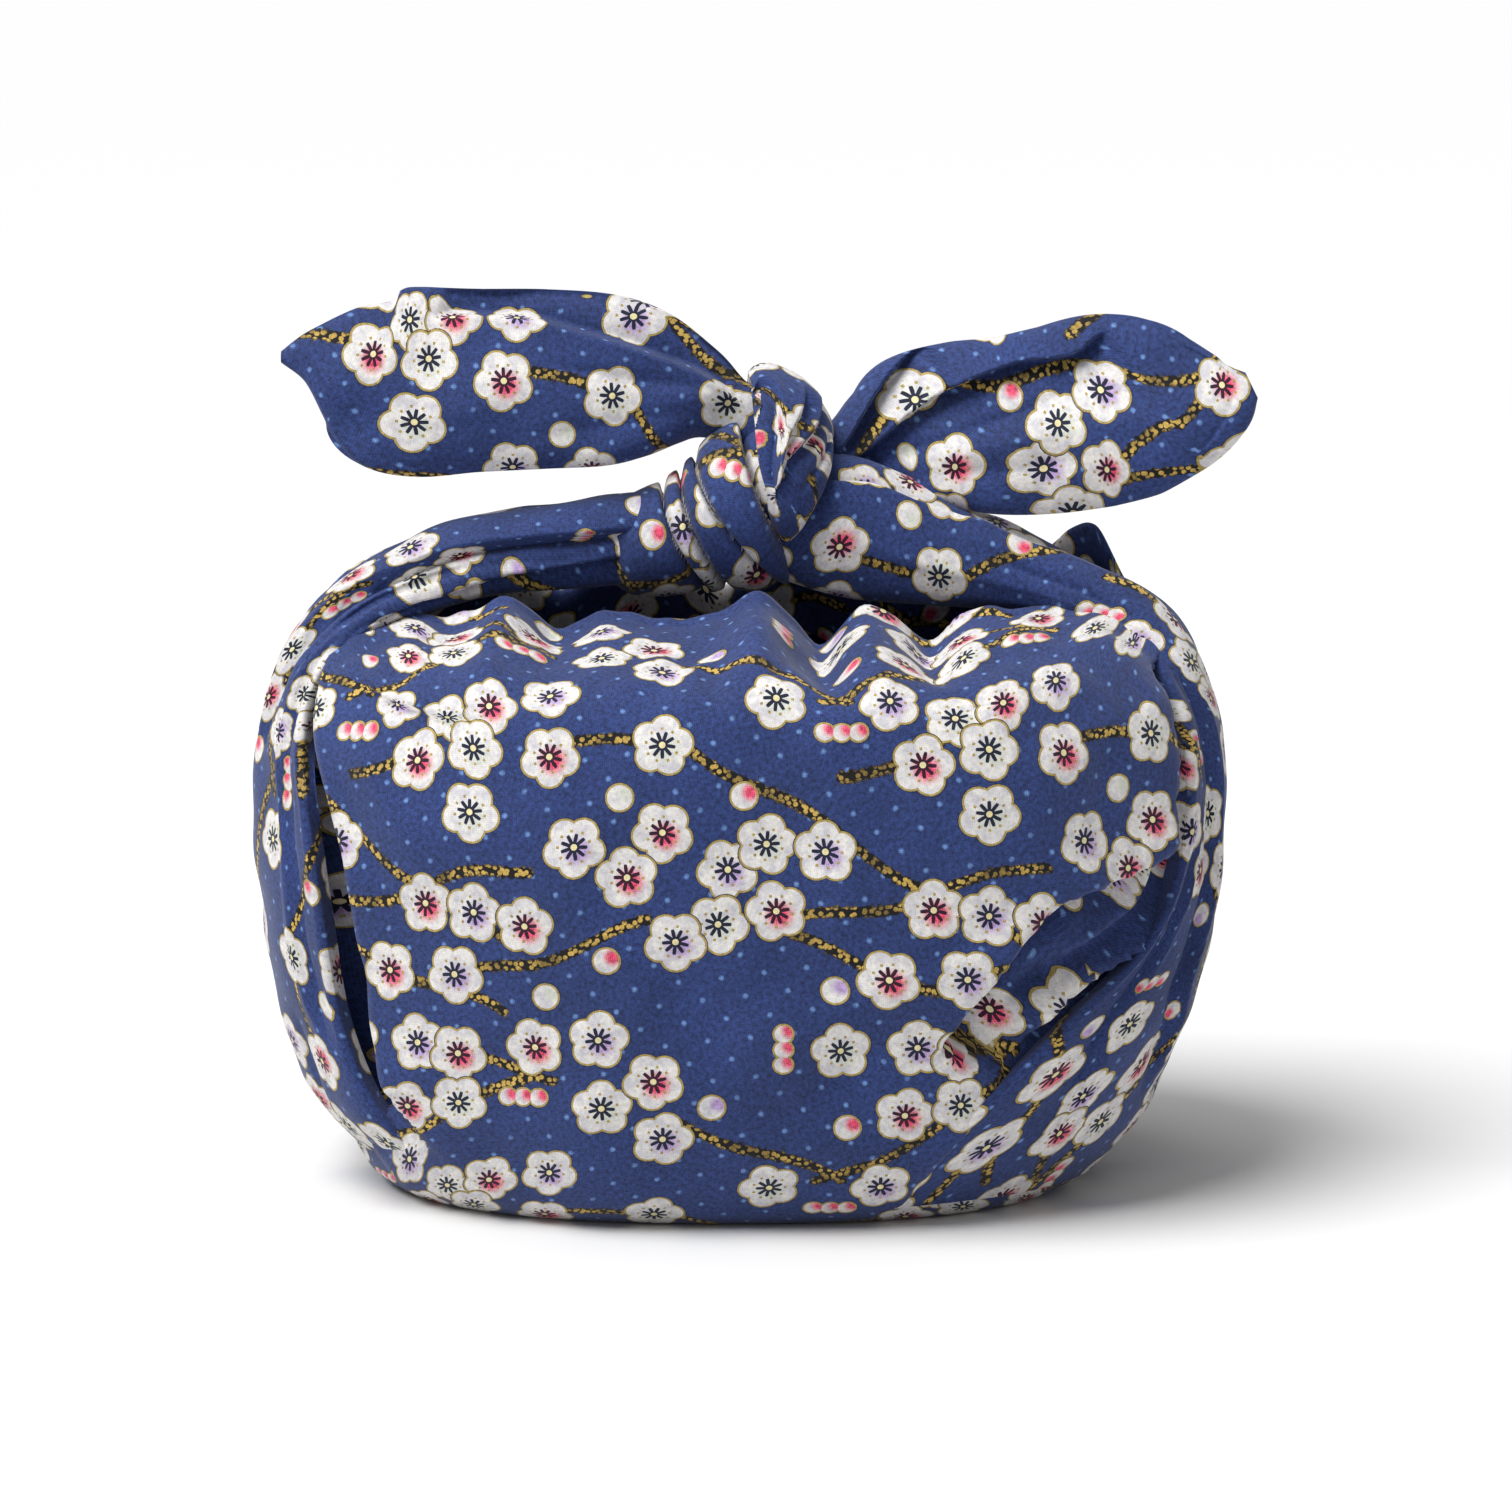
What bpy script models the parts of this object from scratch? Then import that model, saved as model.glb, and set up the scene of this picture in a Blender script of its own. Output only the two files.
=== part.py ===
"""A square furoshiki cloth knotted into a carrying bag, standing full on a table.

The cloth is one piece. Its middle stands as a rounded pouch with an open mouth, two opposite
corners are gathered up the sides into bands, and the bands are tied over the mouth in a knot
whose free corners stand out as two ears. Lengths are in millimetres until MM turns them to metres.
"""

import math

import bmesh
import bpy
import numpy as np

MM = 0.001

# Driving sizes
CLOTH_THICKNESS = 2.0
PLAN_POWER = 2.4  # superellipse power of the pouch's plan: 2 is an ellipse, more is squarer
WIDEST_HALF_WIDTH = 102.5
WIDEST_HALF_DEPTH = 78.5
POUCH_STEPS_AROUND = 80
BAND_STEPS_ACROSS = 15
EAR_STEPS_ACROSS = 13
CLOTH_BLUE = (0.035, 0.068, 0.21, 1.0)
CLOTH_ROUGHNESS = 0.85

# Half sections of the pouch from the middle of its base to its rim
POUCH_COLUMNS = ("height", "half_width", "half_depth")
POUCH_ROWS = (
    (0.0, 36.0, 26.0),
    (0.0, 71.0, 51.0),
    (1.2, 77.0, 56.0),
    (5.0, 82.5, 61.0),
    (12.0, 87.5, 66.0),
    (22.0, 92.0, 70.0),
    (35.0, 96.0, 73.5),
    (50.0, 99.5, 76.0),
    (66.0, 101.5, 77.5),
    (82.0, WIDEST_HALF_WIDTH, WIDEST_HALF_DEPTH),
    (96.0, 102.0, 78.0),
    (107.0, 99.5, 76.5),
    (113.5, 97.0, 74.0),
    (117.5, 95.0, 70.0),
    (120.3, 93.0, 63.0),
    (122.6, 91.0, 52.0),
    (124.6, 89.0, 39.0),
    (126.0, 87.0, 25.0),
)
POUCH_INNER_ROWS = (0, 1, 3, 5, 7, 9, 11, 13, 15, 17)  # the sections that the inside keeps

# Waves along the mouth's front and back edges, fading out towards the shoulder
WAVE_COLUMNS = ("x", "rise", "half_breadth")
FRONT_WAVES = (
    (-78.0, -1.5, 8.0),
    (-51.0, 4.5, 7.0),
    (-38.0, -2.0, 6.0),
    (-27.0, 1.5, 6.0),
    (4.0, 7.0, 9.0),
    (17.5, -5.5, 7.0),
    (27.5, 3.5, 6.0),
    (41.0, -5.5, 8.0),
    (66.0, 1.5, 14.0),
)
BACK_WAVES = (
    (-62.0, 3.0, 10.0),
    (-40.0, -4.0, 8.0),
    (-20.0, 5.0, 8.0),
    (-4.0, -4.5, 7.0),
    (14.0, 5.0, 9.0),
    (36.0, -3.5, 9.0),
    (54.0, 3.0, 9.0),
    (75.0, 9.0, 9.0),
)
BACK_RISE = 3.5  # the back edge of the mouth stands this much above the front one

# Lines where one layer of cloth lies over the next on the pouch's front or back. Each is a curve
# through three points; the layer on the line's left, going from start to end, stands proud.
FOLD_COLUMNS = (
    "face", "x0", "z0", "x1", "z1", "x2", "z2", "rise", "reach", "dip",
)
POUCH_FOLDS = (
    ("front", 66.0, 66.0, 84.0, 71.0, 96.0, 100.0, 4.5, 22.0, 3.5),
    ("front", 63.0, 34.0, 78.0, 50.0, 97.0, 70.0, 1.5, 10.0, 2.5),
    ("front", -88.0, 96.0, -84.0, 60.0, -70.0, 22.0, 2.0, 14.0, 3.0),
    ("back", 60.0, 30.0, 74.0, 62.0, 86.0, 92.0, 3.0, 20.0, 2.5),
    ("back", -86.0, 94.0, -76.0, 58.0, -52.0, 26.0, 3.0, 20.0, 2.5),
)

# The gathered sides: each row is a line across the cloth on the pouch's wall, from its front
# edge to its back edge, and how far the cloth stands off the wall
GATHER_COLUMNS = ("front_x", "front_z", "back_x", "back_z", "lift", "pleat")
LEFT_GATHERS = (
    (-62.0, 7.0, -60.0, 7.0, -1.0, 0.3),
    (-75.0, 26.0, -76.0, 24.0, 0.6, 1.0),
    (-84.0, 46.0, -83.0, 44.0, 1.6, 1.4),
    (-87.0, 64.0, -86.0, 62.0, 2.0, 1.6),
    (-88.5, 81.0, -88.0, 80.0, 2.2, 1.8),
    (-90.0, 99.0, -90.0, 98.0, 2.4, 2.0),
)
RIGHT_GATHERS = (
    (33.0, 5.0, 58.0, 5.0, -1.0, 0.3),
    (43.0, 18.5, 72.0, 14.0, 0.6, 0.8),
    (57.0, 34.5, 79.0, 28.0, 1.4, 1.2),
    (72.0, 46.5, 83.0, 42.0, 1.8, 1.4),
    (87.0, 59.0, 86.0, 58.0, 2.0, 1.6),
    (94.0, 77.0, 88.0, 77.0, 2.2, 1.8),
    (93.5, 97.0, 89.0, 97.0, 2.4, 2.0),
)

# The bands from the pouch's upper corners to the knot
BAND_COLUMNS = ("x", "y", "z", "across", "out", "half_angle", "hollow", "pleat")
LEFT_BAND = (
    (-92.0, 0.0, 113.0, 31.0, 7.5, 95.0, 0.15, 2.0),
    (-82.5, 0.0, 125.0, 23.0, 7.5, 105.0, 0.15, 2.0),
    (-69.0, 0.0, 132.0, 17.0, 8.0, 118.0, 0.15, 2.0),
    (-54.0, 0.0, 136.5, 14.0, 8.5, 130.0, 0.15, 1.8),
    (-38.0, 0.0, 138.5, 12.0, 9.5, 140.0, 0.15, 1.6),
    (-20.0, 0.0, 140.5, 10.0, 10.0, 145.0, 0.15, 1.0),
)
RIGHT_BAND = (
    (93.0, 0.0, 112.0, 29.0, 7.5, 95.0, 0.15, 2.0),
    (86.0, 0.0, 121.5, 22.0, 7.0, 105.0, 0.15, 2.0),
    (74.0, 0.0, 127.5, 17.0, 7.5, 115.0, 0.15, 1.8),
    (59.0, -1.0, 132.5, 14.5, 9.0, 125.0, 0.15, 1.4),
    (43.0, -2.0, 137.0, 13.0, 12.5, 132.0, 0.15, 1.2),
    (26.0, -2.0, 142.0, 12.0, 16.0, 138.0, 0.15, 1.0),
    (9.0, -1.0, 145.0, 10.0, 14.0, 140.0, 0.15, 1.0),
)
BAND_PLEATS = 3.0

# The knot: a pleated wrap lying across the bands, and a tongue of cloth brought over its top
WRAP_COLUMNS = ("x", "z", "half_height", "half_depth")
WRAP_ROWS = (
    (-28.5, 138.5, 2.5, 3.0),
    (-27.0, 138.5, 6.5, 7.0),
    (-22.5, 139.5, 9.3, 10.5),
    (-16.5, 141.2, 11.3, 13.0),
    (-9.0, 144.2, 14.0, 15.0),
    (-1.3, 147.0, 16.3, 16.0),
    (6.0, 149.0, 17.3, 16.0),
    (12.0, 149.5, 15.0, 14.0),
    (16.5, 149.5, 8.0, 8.0),
)
WRAP_STEPS_AROUND = 22
WRAP_PLEATS = 7.0
WRAP_PLEAT_DEPTH = 1.3
TONGUE_COLUMNS = ("x", "y", "z", "half_breadth", "out")
TONGUE_CENTRE = (5.0, 0.0, 157.0)
TONGUE_ROWS = (
    (5.0, -12.0, 141.0, 3.5, 4.0),
    (4.5, -15.5, 148.0, 4.5, 5.0),
    (7.0, -15.0, 155.0, 8.5, 6.0),
    (9.5, -12.0, 162.0, 11.5, 6.5),
    (10.5, -6.5, 167.0, 12.0, 6.5),
    (10.5, 0.0, 169.0, 12.0, 6.5),
    (10.5, 7.0, 166.0, 12.0, 6.5),
    (9.0, 12.0, 158.5, 11.0, 6.0),
    (6.0, 13.0, 149.0, 8.5, 5.5),
    (3.0, 10.0, 139.0, 5.0, 5.0),
)
TONGUE_LEAN = -0.3  # how far its right edge sits below its left one, as a slope
TONGUE_HALF_ANGLE = 82.0
TONGUE_PLEATS = 2.5
TONGUE_PLEAT_DEPTH = 1.2

# The free corners: half_height is seen from the front, bulge is towards it
EAR_COLUMNS = ("x", "y", "z", "half_height", "bulge", "half_angle")
LEFT_EAR = (
    (7.0, 5.0, 163.0, 6.5, 6.0, 130.0),
    (-2.0, 4.0, 168.0, 7.0, 6.5, 128.0),
    (-9.0, 3.0, 171.5, 10.5, 7.0, 124.0),
    (-18.0, 2.0, 173.8, 15.3, 7.0, 120.0),
    (-28.0, 1.0, 175.0, 18.0, 7.0, 116.0),
    (-42.0, 0.0, 175.6, 18.6, 7.0, 114.0),
    (-57.0, 0.0, 175.3, 18.8, 7.0, 112.0),
    (-70.0, 0.0, 175.5, 19.4, 6.5, 112.0),
    (-79.0, 0.0, 177.0, 18.0, 6.0, 112.0),
    (-87.0, 0.0, 180.0, 13.2, 5.0, 112.0),
    (-93.0, 0.0, 181.0, 7.5, 4.0, 112.0),
    (-98.5, 0.0, 181.5, 1.5, 2.5, 112.0),
)
RIGHT_EAR = (
    (12.0, 6.0, 154.0, 6.5, 6.0, 130.0),
    (22.0, 6.5, 158.0, 7.0, 6.5, 128.0),
    (29.0, 6.0, 161.5, 10.5, 7.0, 124.0),
    (36.0, 5.0, 164.3, 15.0, 7.5, 120.0),
    (46.0, 4.0, 165.0, 17.4, 8.0, 116.0),
    (57.0, 3.0, 164.8, 18.8, 8.0, 114.0),
    (68.0, 2.0, 166.2, 19.8, 7.5, 112.0),
    (79.0, 1.0, 168.5, 20.3, 7.0, 112.0),
    (90.0, 0.0, 169.2, 18.6, 6.5, 112.0),
    (100.0, 0.0, 170.0, 15.3, 5.5, 112.0),
    (107.5, 0.0, 172.5, 9.5, 4.0, 112.0),
    (111.5, 0.0, 174.5, 3.5, 2.5, 112.0),
)
# Where an ear's front layer ends and the layer behind it shows above
EAR_FOLD_COLUMNS = ("x0", "z0", "x1", "z1", "x2", "z2", "step", "reach")
LEFT_EAR_FOLD = (2.0, 167.0, -30.0, 184.0, -72.0, 190.5, 3.2, 12.0)
RIGHT_EAR_FOLD = (24.0, 150.0, 44.0, 170.0, 74.0, 187.0, 4.2, 12.0)
FOLD_EDGE = 2.5  # half breadth of the drop at a fold's edge


def column(table, columns, name):
    return np.array([row[columns.index(name)] for row in table], float)


def catmull(values, at):
    """Catmull-Rom through the rows of values, read at positions from 0 to the last row."""
    values = np.asarray(values, float)
    padded = np.concatenate([2 * values[:1] - values[1:2], values, 2 * values[-1:] - values[-2:-1]])
    low = np.clip(np.floor(at).astype(int), 0, len(values) - 2)
    t = (at - low).reshape((-1,) + (1,) * (values.ndim - 1))
    a, b, c, d = (padded[low + step] for step in range(4))
    return b + 0.5 * t * (c - a + t * (2 * a - 5 * b + 4 * c - d + t * (3 * (b - c) + d - a)))


def smooth(x):
    x = np.clip(x, 0.0, 1.0)
    return x * x * (3 - 2 * x)


def unit(vectors):
    return vectors / np.maximum(np.linalg.norm(vectors, axis=-1, keepdims=True), 1e-9)


def bezier(p0, p1, p2, count=40):
    """Points along the curve that starts at p0, passes p1 at its middle and ends at p2."""
    t = np.linspace(0, 1, count)[:, None]
    p0, p1, p2 = (np.array(p, float) for p in (p0, p1, p2))
    bend = 2 * p1 - (p0 + p2) / 2
    return (1 - t) ** 2 * p0 + 2 * t * (1 - t) * bend + t**2 * p2


def beside(points, line):
    """Signed distance of 2-D points to a line of points (left is positive), and the share along."""
    flat = points.reshape(-1, 2)
    gaps = flat[:, None, :] - line[None, :, :]
    nearest = np.argmin((gaps**2).sum(-1), axis=1)
    tangent = unit(np.gradient(line, axis=0))[nearest]
    gap = flat - line[nearest]
    side = tangent[:, 0] * gap[:, 1] - tangent[:, 1] * gap[:, 0]
    far = np.linalg.norm(gap, axis=1)
    shape = points.shape[:-1]
    share = nearest / (len(line) - 1)
    return (np.sign(side) * far).reshape(shape), share.reshape(shape)


def layer_over(distance, share, rise, reach, dip):
    """Height of cloth near a fold's edge: a layer that rises to its edge, then drops below."""
    ends = smooth(share / 0.25) * smooth((1 - share) / 0.25)
    over = rise * np.exp(-np.maximum(distance, 0) / reach) * smooth(distance / (2 * FOLD_EDGE) + 0.5)
    under = -dip * np.exp(-np.maximum(-distance, 0) / (0.4 * reach)) * smooth(0.5 - distance / (2 * FOLD_EDGE))
    return ends * (over + under)


def plan_angles(count):
    """Angles from the back round to the back, closest together where the mouth's waves are."""
    dense = np.linspace(-1.5 * math.pi, 0.5 * math.pi, 4001)
    points = plan_point(dense, WIDEST_HALF_WIDTH, WIDEST_HALF_DEPTH)
    steps = np.linalg.norm(np.diff(points, axis=0), axis=1)
    steps *= 0.6 + 0.4 * np.abs(np.sin(dense[1:]))
    along = np.concatenate([[0], np.cumsum(steps)])
    return np.interp(np.linspace(0, along[-1], count + 1)[:-1], along, dense)


def plan_point(angle, half_width, half_depth):
    power = 2 / PLAN_POWER
    c, s = np.cos(angle), np.sin(angle)
    x = half_width * np.sign(c) * np.abs(c) ** power
    y = half_depth * np.sign(s) * np.abs(s) ** power
    return np.stack([x, y], axis=-1)


def angle_at(x, half_width, back):
    """The plan angle at which the wall's front or back is x to the right of the middle."""
    share = np.clip(np.abs(x) / half_width, 0, 0.9999) ** (PLAN_POWER / 2)
    angle = np.arccos(share * np.sign(x))
    return np.where(back, angle, -angle)


def wall_size(height):
    """Half width and half depth of the pouch's wall at a height."""
    heights = column(POUCH_ROWS, POUCH_COLUMNS, "height")
    wall = slice(1, None)
    return (
        np.interp(height, heights[wall], column(POUCH_ROWS, POUCH_COLUMNS, "half_width")[wall]),
        np.interp(height, heights[wall], column(POUCH_ROWS, POUCH_COLUMNS, "half_depth")[wall]),
    )


def waves(x, table):
    total = np.zeros_like(x)
    for place, rise, half_breadth in table:
        total += rise * np.exp(-(((x - place) / half_breadth) ** 2))
    return total


def pouch_surface():
    """The pouch's outer face as rings of points, from the base's first ring to the rim."""
    angles = plan_angles(POUCH_STEPS_AROUND)
    rings = []
    for height, half_width, half_depth in POUCH_ROWS:
        flat = plan_point(angles, half_width, half_depth)
        rings.append(np.column_stack([flat, np.full(len(angles), height)]))
    surface = np.array(rings)
    out = unit(surface * np.array([1 / WIDEST_HALF_WIDTH**2, 1 / WIDEST_HALF_DEPTH**2, 0]))
    x, y, z = surface[..., 0], surface[..., 1], surface[..., 2]
    bulge = np.zeros_like(x)
    for row in POUCH_FOLDS:
        fold = dict(zip(FOLD_COLUMNS, row))
        line = bezier((fold["x0"], fold["z0"]), (fold["x1"], fold["z1"]), (fold["x2"], fold["z2"]))
        distance, share = beside(np.stack([x, z], axis=-1), line)
        facing = y < 0 if fold["face"] == "front" else y > 0
        bulge += facing * layer_over(distance, share, fold["rise"], fold["reach"], fold["dip"])
    on_wall = smooth((z - 3) / 12) * smooth((124 - z) / 6)
    under_gathers = smooth((np.abs(x) / np.maximum(wall_size(z)[0], 1) - 0.86) / 0.06)
    bulge = bulge * (1 - under_gathers) - 1.1 * under_gathers * smooth((z - 15) / 20)
    surface += out * (bulge * on_wall)[..., None]
    rim_share = smooth((z - 112) / 12)
    wave = np.where(y < 0, waves(x, FRONT_WAVES), waves(x, BACK_WAVES) + BACK_RISE)
    surface[..., 2] += wave * rim_share * smooth((90 - np.abs(x)) / 12)
    return surface


def surface_normals(surface, closed_round):
    """Unit normals of a grid of points, rows by columns."""
    if closed_round:
        wide = np.concatenate([surface[:, -1:], surface, surface[:, :1]], axis=1)
        across = np.gradient(wide, axis=1)[:, 1:-1]
    else:
        across = np.gradient(surface, axis=1)
    along = np.gradient(surface, axis=0)
    return unit(np.cross(across, along))


def mesh_object(name, points, faces):
    mesh = bpy.data.meshes.new(name)
    mesh.from_pydata([tuple(p) for p in np.asarray(points) * MM], [], [tuple(f) for f in faces])
    made = bmesh.new()
    made.from_mesh(mesh)
    bmesh.ops.recalc_face_normals(made, faces=made.faces)
    made.to_mesh(mesh)
    made.free()
    mesh.shade_smooth()
    mesh.set_sharp_from_angle(angle=math.radians(60))
    made_object = bpy.data.objects.new(name, mesh)
    bpy.context.scene.collection.objects.link(made_object)
    return made_object


def quads(rows, columns, start=0, closed=True):
    """Faces between successive rows of points numbered from start."""
    faces = []
    for r in range(rows - 1):
        for c in range(columns if closed else columns - 1):
            after = (c + 1) % columns
            low, high = start + r * columns, start + (r + 1) * columns
            faces.append((low + c, low + after, high + after, high + c))
    return faces


def pouch_shell(name):
    outer = pouch_surface()
    normals = surface_normals(outer, closed_round=True)
    middle = outer[9].mean(axis=0)
    normals *= np.sign(((outer - middle) * normals).sum(-1, keepdims=True).mean())
    inner = outer - normals * CLOTH_THICKNESS
    inner[:2, :, 2] = CLOTH_THICKNESS
    inner = inner[list(POUCH_INNER_ROWS)]
    rows, columns = len(outer) + len(inner), outer.shape[1]
    shell = np.concatenate([outer, inner[::-1]]).reshape(-1, 3)
    faces = quads(rows, columns)
    points = list(shell) + [np.array([0, 0, 0.0]), np.array([0, 0, CLOTH_THICKNESS])]
    base_middle, floor_middle = len(shell), len(shell) + 1
    last = (rows - 1) * columns
    for c in range(columns):
        after = (c + 1) % columns
        faces.append((base_middle, after, c))
        faces.append((floor_middle, last + c, last + after))
    return mesh_object(name, points, faces)


def tube(name, sections):
    """A closed solid through closed outlines of equal length, with its two ends capped."""
    sections = np.asarray(sections)
    rows, columns = sections.shape[:2]
    points = sections.reshape(-1, 3)
    faces = quads(rows, columns)
    faces.append(tuple(range(columns))[::-1])
    faces.append(tuple((rows - 1) * columns + c for c in range(columns)))
    return mesh_object(name, points, faces)


def pleats(v, count, phase):
    """Soft ridges with tighter valleys across a gathered band, v from -1 to 1."""
    return np.abs(np.cos(math.pi * (count * v / 2 + phase))) ** 0.8 - 0.6


def band_sections(gathers, band, phase):
    """Outlines of a gathered side and its band, from the foot of the pouch into the knot."""
    v = np.linspace(-1, 1, BAND_STEPS_ACROSS)
    outer, inner = [], []
    for row in gathers:
        g = dict(zip(GATHER_COLUMNS, row))
        front_angle = angle_at(g["front_x"], wall_size(g["front_z"])[0], False)
        back_angle = angle_at(g["back_x"], wall_size(g["back_z"])[0], True)
        if g["front_x"] < 0:
            back_angle = back_angle - 2 * math.pi
        share = (v + 1) / 2
        angle = front_angle + share * (back_angle - front_angle)
        height = g["front_z"] + share * (g["back_z"] - g["front_z"])
        half_width, half_depth = wall_size(height)
        flat = plan_point(angle, half_width, half_depth)
        out = unit(flat / np.array([WIDEST_HALF_WIDTH**2, WIDEST_HALF_DEPTH**2]))
        lift = g["lift"] + g["pleat"] * pleats(v, BAND_PLEATS, phase) * (1 - v**4)
        line = np.column_stack([flat + out * lift[:, None], height])
        depth = 1.8 + 0.8 * (1 - v**4)
        back = np.column_stack([flat - out * depth[:, None], height])
        outer.append(line)
        inner.append(back)
    centres = np.array([row[:3] for row in band])
    tangents = unit(np.gradient(centres, axis=0))
    for row, tangent in zip(band, tangents):
        b = dict(zip(BAND_COLUMNS, row))
        centre = np.array([b["x"], b["y"], b["z"]])
        across = np.array([0.0, 1.0, 0.0])
        out = unit(np.cross(tangent, across))
        out *= np.sign(out[2])
        phi = np.radians(b["half_angle"]) * v
        pleat = b["pleat"] * pleats(v, BAND_PLEATS, phase)
        ray = np.sin(phi)[:, None] * across * (b["across"] + pleat)[:, None]
        ray = ray + np.cos(phi)[:, None] * out * (b["out"] + pleat)[:, None]
        outer.append(centre + ray)
        inner.append(centre + ray * b["hollow"])
    return np.array(outer), np.array(inner)


def gathered_band(name, gathers, band, phase, steps):
    outer, inner = band_sections(gathers, band, phase)
    at = np.linspace(0, len(outer) - 1, steps)
    outer, inner = catmull(outer, at), catmull(inner, at)
    return tube(name, np.concatenate([outer, inner[:, ::-1]], axis=1))


def wrap(name):
    """The knot's lower wrap: a solid of upright sections, with pleats that lean over its front."""
    rows = catmull(np.array(WRAP_ROWS), np.linspace(0, len(WRAP_ROWS) - 1, 17))
    around = np.linspace(0, 2 * math.pi, WRAP_STEPS_AROUND, endpoint=False)
    sections = []
    for x, z, half_height, half_depth in rows:
        lean = (x - 14.0 * np.sin(around) * half_height / 17.0) / 45.0
        grow = WRAP_PLEAT_DEPTH * pleats(lean, WRAP_PLEATS, 0.25) * half_height / 17.0
        across = -np.cos(around) * (half_depth + grow)
        rise = np.sin(around) * (half_height + grow)
        sections.append(np.column_stack([np.full(len(around), x), across, z + rise]))
    return tube(name, sections)


def tongue(name):
    """The knot's upper wrap, from its front over the top to its back."""
    at = np.linspace(0, len(TONGUE_ROWS) - 1, 19)
    rows = catmull(np.array(TONGUE_ROWS), at)
    centres = rows[:, :3]
    tangents = unit(np.gradient(centres, axis=0))
    away = unit(centres - np.array(TONGUE_CENTRE))
    out = unit(away - (away * tangents).sum(-1, keepdims=True) * tangents)
    across = np.cross(tangents, out)
    across *= np.sign(across[:, :1])
    across = unit(across + np.array([0.0, 0.0, TONGUE_LEAN]))
    v = np.linspace(-1, 1, 13)
    phi = np.radians(TONGUE_HALF_ANGLE) * v
    sections = []
    for row, o, a in zip(rows, out, across):
        pleat = TONGUE_PLEAT_DEPTH * pleats(v, TONGUE_PLEATS, 0.5) * row[3] / 12
        arc = a * (np.sin(phi) * row[3])[:, None] + o * (np.cos(phi) * row[4] + pleat)[:, None]
        floor = a * (np.sin(phi) * row[3] * 0.8)[:, None] - o * 4.0
        sections.append(row[:3] + np.concatenate([arc, floor[::-1]]))
    return tube(name, sections)


def ear(name, table, fold_row, steps):
    """A free corner: a C of cloth with its edges turned to the back, and a fold along its front."""
    rows = catmull(np.array(table), np.linspace(0, len(table) - 1, steps))
    centres = rows[:, :3]
    tangents = unit(np.gradient(centres, axis=0) * np.array([1, 0, 1]))
    front = np.array([0.0, -1.0, 0.0])
    up = np.cross(tangents, front)
    up *= np.sign(up[:, 2:])
    v = np.linspace(-1, 1, EAR_STEPS_ACROSS)
    fold = dict(zip(EAR_FOLD_COLUMNS, fold_row))
    line = bezier((fold["x0"], fold["z0"]), (fold["x1"], fold["z1"]), (fold["x2"], fold["z2"]))
    sections = []
    for row, u in zip(rows, up):
        half_height, bulge, half_angle = row[3:]
        phi = np.radians(half_angle) * v
        peak = np.sin(np.minimum(np.radians(half_angle), math.pi / 2))
        rise = u * (np.sin(phi) / peak * half_height)[:, None]
        outer = row[:3] + rise + front * (np.cos(phi) * bulge)[:, None]
        distance, share = beside(outer[:, [0, 2]], line)
        above = distance if table[0][0] < table[-1][0] else -distance
        on_front = smooth(np.cos(phi) * 3)
        step = fold["step"] * smooth(above / (2 * FOLD_EDGE) + 0.5) * np.exp(-np.maximum(above, 0) / fold["reach"])
        outer[:, 1] += step * on_front * smooth(share / 0.2) * smooth((1 - share) / 0.2)
        shrink = max(0.0, 1 - CLOTH_THICKNESS / max(half_height, bulge, 2.6))
        thin = CLOTH_THICKNESS if bulge > 3.5 else 1.4
        inner = row[:3] + rise * shrink + front * (np.cos(phi) * (bulge - thin))[:, None]
        inner[:, 1] += outer[:, 1] - (row[1] - np.cos(phi) * bulge)
        sections.append(np.concatenate([outer, inner[::-1]]))
    return tube(name, sections)


def cloth_material():
    cloth = bpy.data.materials.new("printed_cotton")
    cloth.use_nodes = True
    shader = cloth.node_tree.nodes["Principled BSDF"]
    shader.inputs["Base Color"].default_value = CLOTH_BLUE
    shader.inputs["Roughness"].default_value = CLOTH_ROUGHNESS
    shader.inputs["Metallic"].default_value = 0.0
    return cloth


def join(whole, part):
    """Fuses a part into the whole: it is the same piece of cloth."""
    part.hide_render = True
    part.display_type = "WIRE"
    union = whole.modifiers.new("join_" + part.name, "BOOLEAN")
    union.operation = "UNION"
    union.solver = "EXACT"
    union.object = part


def build():
    for old in list(bpy.data.objects):
        bpy.data.objects.remove(old)
    bag = pouch_shell("furoshiki")
    bag.data.materials.append(cloth_material())
    parts = (
        gathered_band("left_band", LEFT_GATHERS, LEFT_BAND, 0.5, 21),
        gathered_band("right_band", RIGHT_GATHERS, RIGHT_BAND, 0.5, 23),
        wrap("knot_wrap"),
        tongue("knot_tongue"),
        ear("left_ear", LEFT_EAR, LEFT_EAR_FOLD, 18),
        ear("right_ear", RIGHT_EAR, RIGHT_EAR_FOLD, 18),
    )
    for part in parts:
        join(bag, part)


build()
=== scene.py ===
import math
from functools import partial

import bpy
import numpy as np
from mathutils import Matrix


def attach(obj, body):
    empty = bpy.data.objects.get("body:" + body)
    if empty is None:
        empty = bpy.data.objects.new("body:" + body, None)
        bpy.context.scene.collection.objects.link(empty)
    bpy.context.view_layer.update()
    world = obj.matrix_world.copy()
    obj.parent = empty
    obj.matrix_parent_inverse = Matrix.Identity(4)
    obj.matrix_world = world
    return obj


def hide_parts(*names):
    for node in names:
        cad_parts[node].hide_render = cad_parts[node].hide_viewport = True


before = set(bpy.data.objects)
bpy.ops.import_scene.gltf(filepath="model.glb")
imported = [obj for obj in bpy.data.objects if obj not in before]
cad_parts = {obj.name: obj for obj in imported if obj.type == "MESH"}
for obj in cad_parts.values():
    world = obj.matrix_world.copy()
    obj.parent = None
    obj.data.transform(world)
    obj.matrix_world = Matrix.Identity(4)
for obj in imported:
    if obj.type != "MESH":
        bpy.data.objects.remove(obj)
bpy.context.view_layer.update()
mm = 0.001

# ---- small helpers: lengths are in millimetres until a mesh is made


def smooth(x):
    x = np.clip(x, 0.0, 1.0)
    return x * x * (3 - 2 * x)


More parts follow.
